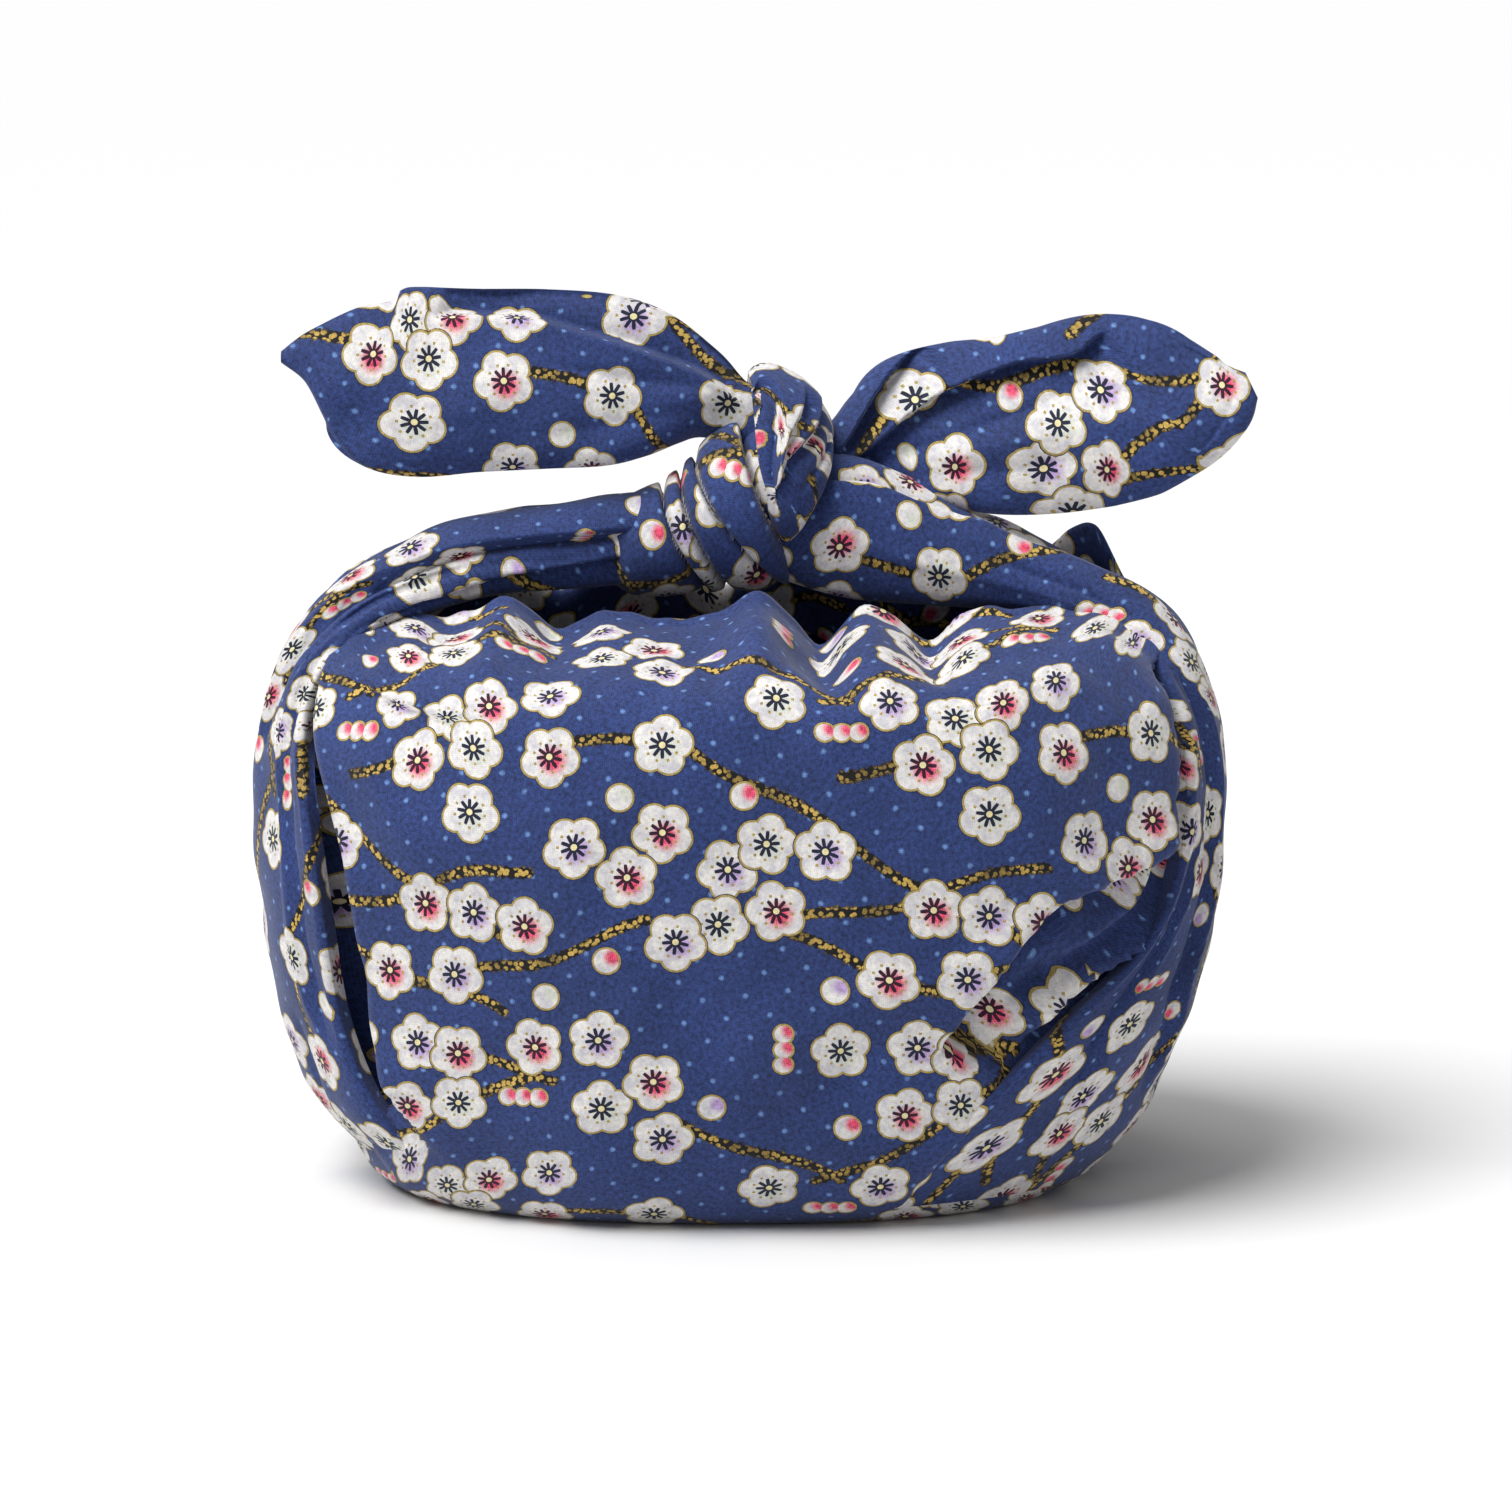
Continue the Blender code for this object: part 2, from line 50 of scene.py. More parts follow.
def unit(vectors):
    return vectors / np.maximum(np.linalg.norm(vectors, axis=-1, keepdims=True), 1e-9)


def readRows(rows, at):
    # a smooth curve through the rows, read at places from 0 to the last row
    rows = np.asarray(rows, float)
    padded = np.concatenate([2 * rows[:1] - rows[1:2], rows, 2 * rows[-1:] - rows[-2:-1]])
    low = np.clip(np.floor(at).astype(int), 0, len(rows) - 2)
    t = (at - low).reshape((-1,) + (1,) * (rows.ndim - 1))
    a, b, c, d = (padded[low + step] for step in range(4))
    return b + 0.5 * t * (c - a + t * (2 * a - 5 * b + 4 * c - d + t * (3 * (b - c) + d - a)))


def curveThrough(points, count=80):
    return readRows(points, np.linspace(0, len(points) - 1, count))


def beside(points, line):
    # signed distance to a line, positive on its left, the share of the way along it, and its left side
    flat = points.reshape(-1, 2)
    nearest = np.empty(len(flat), int)
    for start in range(0, len(flat), 20000):
        part = slice(start, start + 20000)
        gaps = flat[part, None, :] - line[None, :, :]
        nearest[part] = np.argmin((gaps**2).sum(-1), axis=1)
    tangent = unit(np.gradient(line, axis=0))[nearest]
    gap = flat - line[nearest]
    side = tangent[:, 0] * gap[:, 1] - tangent[:, 1] * gap[:, 0]
    along = (tangent * gap).sum(1)
    far = np.where(np.abs(along) > 3.0, np.linalg.norm(gap, axis=1), np.abs(side))
    shape = points.shape[:-1]
    left = np.stack([-tangent[:, 1], tangent[:, 0]], axis=-1)
    distance, share = np.sign(side) * far, nearest / (len(line) - 1)
    return distance.reshape(shape), share.reshape(shape), left.reshape(shape + (2,))


hiddenReach = 55.0  # mm over which a fold's hidden cloth stops moving the print beyond it


def handFolds(points, folds):
    # "over" is a layer lying on the next one, proud on the line's left, with some cloth hidden in
    # its fold; "crease" is a soft trough, or a ridge where its depth is negative
    height, slide = np.zeros(points.shape[:-1]), np.zeros(points.shape)
    for kind, sizes, line in folds:
        distance, share, left = beside(points, curveThrough(line))
        fade = sizes[-1]
        ends = smooth(share / fade) * smooth((1 - share) / fade)
        if kind == "crease":
            depth, breadth = sizes[:2]
            height -= depth * ends * np.exp(-np.abs(distance / breadth) ** 1.5)
            continue
        rise, reach, dip, dipReach, edge, hidden = sizes[:6]
        proud = smooth(distance / (2 * edge) + 0.5)
        over = rise * np.exp(-np.maximum(distance, 0) / reach) * proud
        under = dip * np.exp(-np.maximum(-distance, 0) / dipReach) * (1 - proud)
        height += ends * (over - under)
        gone = hidden * ends * np.exp(-np.maximum(-distance, 0) / hiddenReach) * (1 - proud)
        slide -= left * gone[..., None]
    return height, slide


def unevenness(u, v, seed, lengths, heights):
    # the gentle rise and fall of handled cloth
    draw = np.random.default_rng(seed)
    total = np.zeros_like(u)
    for length, height in zip(lengths, heights):
        for _ in range(8):
            heading, phase, bend = draw.uniform(0, 2 * math.pi, 3)
            k = 2 * math.pi / (length * draw.uniform(0.75, 1.35))
            a = k * (u * math.cos(heading) + v * math.sin(heading))
            b = k * 0.6 * (v * math.cos(heading) - u * math.sin(heading))
            total += height / 2.8 * np.sin(a + phase + 0.9 * np.sin(b + bend))
    return total


def pleats(v, count, phase):
    # round ridges with tight valleys
    return np.abs(np.cos(math.pi * (count * v / 2 + phase))) ** 0.8 - 0.6


def gridNormals(grid):
    return unit(np.cross(np.gradient(grid, axis=1), np.gradient(grid, axis=0)))


def runLengths(grid, axis):
    # distance run along the grid's rows (axis 1) or columns (axis 0)
    steps = np.linalg.norm(np.diff(grid, axis=axis), axis=-1)
    start = np.zeros_like(steps.take([0], axis=axis))
    return np.concatenate([start, np.cumsum(steps, axis=axis)], axis=axis)


def flatPlaces(grid, form, slide=0.0, way=1):
    # places on the flat cloth, from the runs along the grid's middle column and across each row,
    # with the print turned and moved for this stretch of cloth
    middle = grid.shape[1] // 2
    across = runLengths(grid, 1)
    along = way * runLengths(grid, 0)[:, middle : middle + 1] + 0 * across
    runs = np.stack([along, across - across[:, middle : middle + 1]], axis=-1) + slide
    turn = math.radians(form["turn"])
    return runs @ [[math.cos(turn), math.sin(turn)], [-math.sin(turn), math.cos(turn)]] + form["origin"]


def onCloth(form, spans):
    # a form's fold lines, from rows and shares to mm on the cloth
    return [(kind, sizes, np.multiply(line, spans)) for kind, sizes, line in form["folds"]]


def clothPiece(name, grid, places, closedRound=False):
    # one sheet of the cloth from a grid of points; its UV map is each point's place on the flat
    # cloth, or what a function says of each face
    rows, columns = grid.shape[:2]
    r = np.arange(rows - 1)[:, None] * columns
    c = np.arange(columns if closedRound else columns - 1)[None, :]
    after = (c + 1) % columns
    faces = np.stack([r + c, r + after, r + columns + after, r + columns + c], axis=-1).reshape(-1, 4)
    mesh = bpy.data.meshes.new(name)
    mesh.from_pydata((grid.reshape(-1, 3) * mm).tolist(), [], faces.tolist())
    places = places(faces) if callable(places) else places.reshape(-1, 2)[faces]
    mesh.uv_layers.new(name="cloth").data.foreach_set("uv", places.reshape(-1).astype(np.float32))
    mesh.shade_smooth()
    piece = bpy.data.objects.new(name, mesh)
    bpy.context.scene.collection.objects.link(piece)
    mesh.materials.append(printedCotton)
    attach(piece, "root")
    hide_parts("furoshiki")
    return piece


def areaOf(piece):
    return sum(face.area for face in piece.data.polygons)


# ---- the print and the cloth's material


def linearColour(hexText):
    values = [int(hexText[i : i + 2], 16) / 255 for i in (1, 3, 5)]
    return [v / 12.92 if v <= 0.04045 else ((v + 0.055) / 1.055) ** 2.4 for v in values] + [1]


mainChoices = ("operation", "data_type", "noise_dimensions", "voronoi_dimensions", "rotation_type")


def addNode(tree, kind, *values, pick=0, stops=(), **settings):
    # kind is a node with its main choice, as in "Math ADD"; values go to its shown inputs in order,
    # and None leaves one as it is; stops are the steps of a colour ramp
    kind, _, choice = kind.partition(" ")
    made = tree.nodes.new("ShaderNode" + kind)
    if choice:
        settings[next(each for each in mainChoices if hasattr(made, each))] = choice
    for name, value in settings.items():
        setattr(made, name, value)
    if stops:
        ramp = made.color_ramp
        ramp.interpolation = "CONSTANT"
        ramp.elements.remove(ramp.elements[1])
        ramp.elements[0].position, ramp.elements[0].color = stops[0]
        for place, colour in stops[1:]:
            ramp.elements.new(place).color = colour
    for socket, value in zip([each for each in made.inputs if each.enabled], values):
        if isinstance(value, bpy.types.NodeSocket):
            tree.links.new(value, socket)
        elif value is not None:
            socket.default_value = value
    return [each for each in made.outputs if each.enabled][pick]


printPlan = {
    "cell": 13.6,  # mm, a little more than a blossom across
    "cells": 8,  # the print repeats after this many cells, 109 mm
    "petalReach": 0.25,  # of a cell, from a blossom's middle to a petal's
    "petalRound": 0.24,
    "coreRound": 0.19,
    "budRound": 0.222,
    "tripleStep": 0.26,
    "tripleRound": 0.165,
    "outline": 0.032,  # 0.45 mm gold line
    "dotSpacing": 6.4,  # mm
    "dotRound": 0.55,
    "dotTurn": 38.0,  # degrees, also the weave's turn
    "branchHalf": 0.088,
    "branchBend": 0.1,
    "ragged": 0.1,  # how far a branch's sides wander
    "fleckScale": 0.8,  # gold flecks per mm
    "flowerBlot": (0.055, 0.065, 0),  # the blush's place beside the heart
    "budBlot": (0.1, -0.06, 0),
    "flowerBlush": (0.08, 0.29),  # from where it fades to where it ends
    "budBlush": (0.05, 0.19),
    "rays": 9.0,
    "rayReach": (0.085, 0.21),  # from where they narrow to where they end
    "speckRing": 0.25,
    "heartRound": 0.05,
    "thread": 0.62,  # mm from thread to thread, drawn coarser than the cloth's 0.4
    "originAcross": -67.0,
    "originDown": 130.5,
}
kinds = {"white": 1, "pink": 2, "lilac": 3, "pinkBud": 4, "lilacBud": 5, "whiteBud": 6, "triple": 7}
# the charted repeat: place across and down in cells, and what blooms there
blossoms = (
    (1.0, 0.25, "pink"), (2.0, 0.0, "lilac"), (5.5, 0.25, "white"), (7.25, 0.25, "lilac"),
    (0.25, 0.5, "white"), (6.5, 0.75, "triple"), (0.75, 1.0, "white"), (2.0, 1.1, "pink"),
    (3.75, 0.95, "white"), (7.75, 1.25, "pink"), (5.0, 1.75, "pinkBud"), (3.1, 1.75, "whiteBud"),
    (0.75, 2.0, "white"), (2.4, 2.5, "lilac"), (3.75, 2.3, "pink"), (5.35, 2.5, "white"),
    (6.25, 2.6, "lilac"), (3.2, 3.0, "pink"), (4.75, 2.9, "lilac"), (7.9, 3.5, "pink"),
    (0.75, 3.6, "lilac"), (1.6, 3.75, "pink"), (3.95, 4.02, "lilac"), (4.6, 3.75, "white"),
    (5.5, 3.55, "pink"), (2.9, 4.3, "pinkBud"), (0.4, 4.6, "lilac"), (6.4, 4.8, "lilacBud"),
    (7.2, 4.6, "pink"), (1.9, 4.9, "whiteBud"), (1.7, 5.75, "pink"), (2.75, 5.6, "lilac"),
    (5.6, 5.75, "triple"), (6.5, 5.8, "white"), (7.7, 5.75, "lilac"), (0.4, 5.9, "pink"),
    (3.6, 6.3, "pink"), (1.5, 6.6, "triple"), (0.4, 6.75, "white"), (2.8, 6.75, "white"),
    (4.5, 6.75, "lilacBud"), (3.75, 7.3, "lilac"), (6.6, 7.1, "pinkBud"), (7.5, 6.9, "pink"),
)
# branches of the repeat: both ends across and down, in cells
branches = (
    (4.2, 1.0, 9.2, 4.0),
    (9.0, 0.5, 6.5, 1.5),
    (3.5, 3.75, 0.4, 4.7),
    (5.75, 4.0, 9.2, 5.2),
    (5.75, 3.75, 9.7, 2.8),
    (4.0, 7.0, 6.6, 8.1),
    (6.2, 8.2, 9.6, 6.2),
    (0.4, 6.0, 2.0, 6.2),
    (2.0, 0.75, 4.0, 1.1),
)
inks = {
    "ground": "#2A3D75",
    "groundDeep": "#202E58",
    "dot": "#6E92CC",
    "gold": "#A08C50",
    "petal": "#D6D3CF",
    "petalShade": "#BFBDC2",
    "pinkBlush": "#D2355C",
    "lilacBlush": "#A98DBE",
    "whiteBlush": "#C3C6BA",
    "darkStamen": "#141A30",
    "pinkStamen": "#2E0A24",
    "branchDark": "#0D0A09",
    "branchGold": "#BE9E50",
    "heart": "#D8CC9C",
}


def newGroup(name, *sockets):
    # an empty node group, what adds a node to it, and its inside sockets
    tree = bpy.data.node_groups.new(name, "ShaderNodeTree")
    for socket, kind, way in sockets:
        tree.interface.new_socket(socket, in_out=way, socket_type="NodeSocket" + kind)
    ins = tree.nodes.new("NodeGroupInput").outputs
    return tree, partial(addNode, tree), ins, tree.nodes.new("NodeGroupOutput").inputs


def chartStops(half):
    # cells of the repeat as ramp stops: red and green are the place in the cell, blue the kind
    size = printPlan["cells"]
    cells = {}
    for across, down, kind in blossoms:
        key = (int(across) % size, int(down) % size)
        if key in cells:
            raise ValueError("two blossoms in one cell: %s" % (key,))
        cells[key] = (across % 1, down % 1, kinds[kind] / 8, 1)
    stops = []
    for k in range(32):
        key = (k % size, k // size + 4 * half)
        stops.append((k / 32, cells.get(key, (0.5, 0.5, 0, 1))))
    return stops


def blossomCellGroup():
    # looks up one of the four nearest cells and says where in its flower this point is
    p = printPlan
    tree, add, ins, outs = newGroup(
        "blossomCell", ("Place", "Vector", "INPUT"), ("Corner", "Vector", "INPUT"),
        ("Local", "Vector", "OUTPUT"), ("Bloom", "Vector", "OUTPUT"),
    )
    n = p["cells"]
    moved = add("VectorMath ADD", ins[0], ins[1])
    cell = add("VectorMath FLOOR", moved)
    home = add("VectorMath WRAP", cell, (n, n, 1), (0, 0, 0))
    dotted = add("VectorMath DOT_PRODUCT", home, (1 / 32, n / 32, 0))
    first = add("Math ADD", dotted, 0.5 / 32)
    second = add("Math ADD", dotted, 0.5 / 32 - 1)
    upper = add("ValToRGB", first, stops=chartStops(0))
    lower = add("ValToRGB", second, stops=chartStops(1))
    half = add("Math GREATER_THAN", second, 0.0)
    chart = add("Mix RGBA", half, upper, lower)
    middle = add("VectorMath MULTIPLY_ADD", chart, (1, 1, 0), cell)
    gap = add("VectorMath SUBTRACT", ins[0], middle)
    kind = add("SeparateXYZ", chart, pick=2)
    luck = add("TexWhiteNoise 3D", home)
    r = add("VectorMath LENGTH", gap)
    x, y = (add("SeparateXYZ", gap, pick=i) for i in range(2))
    heading = add("Math ARCTAN2", y, x)
    turned = add("Math MULTIPLY_ADD", luck, 2 * math.pi, heading)
    fold = add("Math WRAP", turned, math.pi / 5, -math.pi / 5)
    q = p["petalReach"]
    rCosine = add("Math MULTIPLY", r, add("Math COSINE", fold))
    away = add("Math MULTIPLY_ADD", rCosine, -2 * q, add("Math MULTIPLY_ADD", r, r, q * q))
    petal = add("Math SUBTRACT", add("Math SQRT", away), p["petalRound"])
    core = add("Math SUBTRACT", r, p["coreRound"])
    flower = add("Math MINIMUM", petal, core)
    # buds: one round, or three in a row that stands upright or lies down
    isTriple = add("Math GREATER_THAN", kind, 6.5 / 8)
    lies = add("Math GREATER_THAN", luck, 0.5)
    step = p["tripleStep"]
    steps = add("Math MULTIPLY", add("Mix FLOAT", lies, x, y), 1 / step)
    held = add("Math MAXIMUM", add("Math MINIMUM", add("Math ROUND", steps), 1.0), -1.0)
    shift = add("Math MULTIPLY", add("Math MULTIPLY", held, isTriple), step)
    shiftX = add("Mix FLOAT", lies, shift, 0.0)
    shiftY = add("Mix FLOAT", lies, 0.0, shift)
    budGap = add("VectorMath SUBTRACT", gap, add("CombineXYZ", shiftX, shiftY))
    budSize = add("Math MULTIPLY_ADD", isTriple, p["tripleRound"] - p["budRound"], p["budRound"])
    bud = add("Math SUBTRACT", add("VectorMath LENGTH", budGap), budSize)
    isBud = add("Math GREATER_THAN", kind, 3.5 / 8)
    empty = add("Math LESS_THAN", kind, 0.5 / 8)
    edge = add("Math ADD", add("Mix FLOAT", isBud, flower, bud), empty)
    local = add("Mix VECTOR", isBud, gap, budGap)
    bloom = add("CombineXYZ", edge, kind, turned)
    tree.links.new(local, outs[0])
    tree.links.new(bloom, outs[1])
    return tree


def plumPrintGroup():
    # colour of the print at a place on the flat cloth, given in mm
    p = printPlan
    tree, add, ins, outs = newGroup(
        "plumPrint", ("Cloth", "Vector", "INPUT"), ("Color", "Color", "OUTPUT"))
    colours = {name: linearColour(ink) for name, ink in inks.items()}
    scale = 1 / p["cell"]
    origin = (-p["originAcross"] * scale, p["originDown"] * scale, 0)
    place = add("VectorMath MULTIPLY_ADD", ins[0], (scale, -scale, 0), origin)

    # ground: indigo with a slight unevenness of the dye, and a slanting lattice of pale dots
    dye = add("TexNoise 2D", ins[0], 0.045, 3.0)
    colour = add("Mix RGBA", dye, colours["groundDeep"], colours["ground"])
    angle = math.radians(p["dotTurn"])
    turned = add("VectorRotate Z_AXIS", ins[0], None, angle)
    pace = p["dotSpacing"] / 2
    near = add("VectorMath WRAP", turned, (pace, pace, 1), (-pace, -pace, 0))
    dotR = add("VectorMath LENGTH", add("VectorMath MULTIPLY", near, (1, 1, 0)))
    size = p["dotRound"]
    dot = add("MapRange", dotR, size * 0.3, size * 1.5, 0.7, 0.0, interpolation_type="SMOOTHSTEP")
    colour = add("Mix RGBA", dot, colour, colours["dot"])

    # branches: distance to the nearest of a few lines, bent a little and with ragged sides
    sway = add("Math SINE", add("VectorMath DOT_PRODUCT", place, (2 * math.pi * 3 / 8, 0, 0)))
    bent = add("CombineXYZ", 0.0, sway)
    bent = add("VectorMath MULTIPLY_ADD", bent, (0, p["branchBend"], 0), place)
    ragged = add("TexNoise 2D", ins[0], 1.1, 2.0)
    nearestBranch = None
    n = p["cells"]
    for x0, y0, x1, y1 in branches:
        length = math.hypot(x1 - x0, y1 - y0)
        way = ((x1 - x0) / length, (y1 - y0) / length, 0)
        mid = ((x0 + x1) / 2, (y0 + y1) / 2, 0)
        gap = add("VectorMath SUBTRACT", bent, mid)
        gap = add("VectorMath WRAP", gap, (n / 2, n / 2, 1), (-n / 2, -n / 2, 0))
        along = add("VectorMath DOT_PRODUCT", gap, way)
        held = add("Math MAXIMUM", add("Math MINIMUM", along, length / 2), -length / 2)
        far = add("VectorMath DISTANCE", gap, add("VectorMath SCALE", way, held))
        nearestBranch = far if nearestBranch is None else add("Math MINIMUM", nearestBranch, far)
    side = add("Math MULTIPLY_ADD", ragged, -p["ragged"], nearestBranch)
    half = p["branchHalf"] - 0.05
    onBranch = add("MapRange", side, half - 0.006, half + 0.012, 1.0, 0.0)
    flecks = add("TexVoronoi 2D", ins[0], p["fleckScale"], feature="F1")
    fleck = add("MapRange", flecks, 0.36, 0.46, 1.0, 0.0)
    fleckShare = add("TexNoise 2D", ins[0], 0.12, 1.0)
    fleckShare = add("MapRange", fleckShare, 0.35, 0.55, 0.4, 1.0)
    inner = add("MapRange", side, half - 0.04, half - 0.01, 1.0, 0.15)
    fleck = add("Math MULTIPLY", add("Math MULTIPLY", fleck, inner), fleckShare)
    bark = add("Mix RGBA", fleck, colours["branchDark"], colours["branchGold"])
    colour = add("Mix RGBA", onBranch, colour, bark)

    # the flower on top at this place, from the four nearest cells
    group = blossomCellGroup()
    local = bloom = None
    for corner in ((-0.5, -0.5, 0), (0.5, -0.5, 0), (-0.5, 0.5, 0), (0.5, 0.5, 0)):
        lookup = add("Group", place, corner, node_tree=group).node
        if local is None:
            local, bloom = lookup.outputs
            continue
        covers = add("Math LESS_THAN", add("SeparateXYZ", lookup.outputs[1]), 0.02)
        local = add("Mix VECTOR", covers, local, lookup.outputs[0])
        bloom = add("Mix VECTOR", covers, bloom, lookup.outputs[1])
    edge, kind, turn = (add("SeparateXYZ", bloom, pick=i) for i in range(3))
    r = add("VectorMath LENGTH", local)
    isBud = add("Math GREATER_THAN", kind, 3.5 / 8)
    isFlower = add("Math SUBTRACT", 1.0, isBud)
    # petals: off-white, greyer in soft patches and towards the lines between petals
    mottle = add("TexNoise 2D", ins[0], 0.35, 2.0)
    mottle = add("MapRange", mottle, 0.38, 0.68, 0.0, 1.0)
    petal = add("Mix RGBA", mottle, colours["petal"], colours["petalShade"])
    fold = add("Math ABSOLUTE", add("Math WRAP", turn, math.pi / 5, -math.pi / 5))
    seam = add("MapRange", fold, 0.5, 0.62, 0.0, 0.35)
    petal = add("Mix RGBA", add("Math MULTIPLY", seam, isFlower), petal, colours["petalShade"])
    # blush: a blot of colour on the lower right of each flower and the upper right of each bud
    blot = add("Mix VECTOR", isBud, p["flowerBlot"], p["budBlot"])
    blotR = add("VectorMath DISTANCE", local, blot)
    tints = ("white", "pink", "lilac", "pink", "lilac", "white", "pink")  # from kind 1 to kind 7
    steps = [((i + 0.5) / 8 if i else 0.0, colours[ink + "Blush"]) for i, ink in enumerate(tints)]
    tint = add("ValToRGB", kind, stops=steps)
    blushes = [
        add("MapRange", blotR, near, far, 0.95, 0.0, interpolation_type="SMOOTHSTEP")
        for near, far in (p["flowerBlush"], p["budBlush"])
    ]
    petal = add("Mix RGBA", add("Mix FLOAT", isBud, *blushes), petal, tint)
    # stamens: a star of dark rays, gold specks beyond them and a pale heart
    rays = add("Math COSINE", add("Math MULTIPLY", turn, p["rays"]))
    tip = add("MapRange", r, *p["rayReach"], -1.0, 0.55)
    ray = add("Math GREATER_THAN", rays, tip)
    within = add("MapRange", r, 0.2, 0.215, 1.0, 0.0)
    ray = add("Math MULTIPLY", ray, within)
    isPink = add("Math COMPARE", kind, 2 / 8, 0.05)
    stamen = add("Mix RGBA", isPink, colours["darkStamen"], colours["pinkStamen"])
    ring = add("Math COMPARE", r, p["speckRing"], 0.022)
    speck = add("Math MULTIPLY", add("Math LESS_THAN", rays, -0.72), ring)
    heart = add("Math LESS_THAN", r, p["heartRound"])
    for mark, ink in ((ray, stamen), (speck, colours["gold"]), (heart, colours["heart"])):
        petal = add("Mix RGBA", add("Math MULTIPLY", mark, isFlower), petal, ink)
    # gold outline with a darker line outside it
    gold = add("MapRange", edge, -p["outline"], -p["outline"] + 0.008, 0.0, 1.0)
    petal = add("Mix RGBA", gold, petal, colours["gold"])
    covered = add("MapRange", edge, 0.0, 0.01, 1.0, 0.0)
    rim = add("MapRange", edge, 0.0, 0.04, 0.7, 0.0)
    colour = add("Mix RGBA", rim, colour, colours["branchDark"])
    colour = add("Mix RGBA", covered, colour, petal)
    tree.links.new(colour, outs[0])
    return tree


cotton = {
    "sockets": {
        "Roughness": 0.82,
        "Specular IOR Level": 0.3,
        "Sheen Weight": 0.12,
        "Sheen Roughness": 0.5,
    },
    "weaveShare": 0.14,  # of the thread waves in the relief, the rest is slubs about 1 mm long
    "paintedReliefShade": 0.62,  # painted shade and highlight of the relief: how much lighter on its heights and darker in its hollows the bare cloth is coloured
    "reliefShadeOnPalestInk": 0.28,  # the share of that painted shade and highlight on the palest ink
    "bumpHeight": 0.00012,  # 0.12 mm
}


def printedCottonMaterial():
    # plain-weave cotton, dyed and screen printed: matt, with a faint bloom from its fibres
    made = bpy.data.materials.new("printedCottonPlainWeave")
    made.use_nodes = True
    tree = made.node_tree
    add = partial(addNode, tree)
    shader = tree.nodes["Principled BSDF"]
    for socket, value in cotton["sockets"].items():
        shader.inputs[socket].default_value = value
    cloth = add("UVMap", uv_map="cloth")
    printed = add("Group", cloth, node_tree=plumPrintGroup())
    # threads: two crossing sets of waves
    angle = math.radians(printPlan["dotTurn"])
    turned = add("VectorRotate Z_AXIS", cloth, None, angle)
    pace = 2 * math.pi / printPlan["thread"]
    ways = [add("Math MULTIPLY", add("SeparateXYZ", turned, pick=i), pace) for i in range(2)]
    weave = add("Math MULTIPLY", *(add("Math SINE", way) for way in ways))
    slub = add("TexNoise 2D", turned, 1.0, 2.0, 0.8)
    height = add("Math MULTIPLY_ADD", weave, cotton["weaveShare"], slub)
    # painted shade and highlight: the colour follows the relief, lighter where it stands high and darker
    # where it lies low, less so on pale ink
    paintedReliefShade = add("MapRange", height, 0.22, 0.78, -cotton["paintedReliefShade"], cotton["paintedReliefShade"])
    paint = add("SeparateXYZ", printed, pick=1)
    bare = add("MapRange", paint, 0.05, 0.45, 1.0, cotton["reliefShadeOnPalestInk"])
    shadeBy = add("Math MULTIPLY_ADD", paintedReliefShade, bare, 1.0)
    tinted = add("VectorMath SCALE", printed, shadeBy)
    tree.links.new(tinted, shader.inputs["Base Color"])
    bump = add("Bump", 0.35, cotton["bumpHeight"], None, height)
    tree.links.new(bump, shader.inputs["Normal"])
    return made


printedCotton = printedCottonMaterial()
print("print and cloth ready")

# ---- the pouch, from the middle of its base to the rolled rim of its mouth

pouch = {
    "planPower": 2.4,  # 2 is an ellipse, more is squarer
    "widest": (102.5, 78.5),  # half width and half depth where it is fullest
    "around": 420,
    "pitch": 1.5,  # mm between rings
    "leastHalf": 0.3,  # mm, the ring in the middle of the base
    # height, half width and half depth of each section
    "rows": (
        (0, 0.5, 0.4), (0, 36, 26), (0, 71, 51), (1.2, 77, 56), (5, 82.5, 61), (12, 87.5, 66),
        (22, 92, 70), (35, 96, 73.5), (50, 99.5, 76), (66, 101.5, 77.5), (82, 102.5, 78.5),
        (96, 102, 78), (107, 99.5, 76.5), (113.5, 97, 74), (117.5, 95, 70), (120.3, 93, 63),
        (122.6, 91, 52), (124.6, 89, 39), (126, 87, 25), (127.1, 86.2, 23.2), (126.6, 85.6, 21.6),
        (123, 85.4, 21), (115, 86, 22.5), (107, 87, 25),
    ),
    "baseRow": 2,
    "wallRows": (2.6, 17.5),  # the folds lie between these
    "rimRow": 18,
    # waves of the mouth's edges: place across, rise and half breadth
    "frontWaves": (
        (-78, -1.5, 7), (-64, -1.4, 4), (-50.5, 3.4, 4.6), (-38, -3.2, 4.6), (-28, 0.4, 4.5),
        (-12, -0.8, 4), (3.5, 5.2, 6), (17.3, -6.8, 4.8), (27, 2.6, 4.2), (40.5, -6.0, 5),
        (53, 0.6, 5), (70, 1.5, 12),
    ),
    "backWaves": (
        (-62, 3, 8), (-40, -4, 6), (-20, 5, 7), (-4, -4.5, 5), (14, 5, 8), (36, -3.5, 7),
        (54, 3, 8), (76, 11.5, 9),
    ),
    "backRise": 3.5,
    "grooveAcross": -85.0,
    "grooveColumns": 62,  # that lean with the groove on each of its sides
    "grooveLimit": 0.95,  # of the half width that a column may lean to
    "unevenness": (11, (75, 34, 16), (0.9, 0.5, 0.22)),  # seed, lengths and heights in mm
    "rimUnevenness": (12, (26, 12), (0.55, 0.25)),
    "waveRows": (12.2, 17.2),  # the mouth's waves grow between these
    "underStrip": -2.2,  # mm that the wall stands back under the strips
    "backOrigin": (262.0, 31.0),  # where the middle of the back's foot lies on the flat cloth
    "footLean": -2.4,  # mm that the foot stands to the left
    "footHeight": 26,
    "waveDrift": 0.16,  # the waves fan out towards the shoulder by this share
}
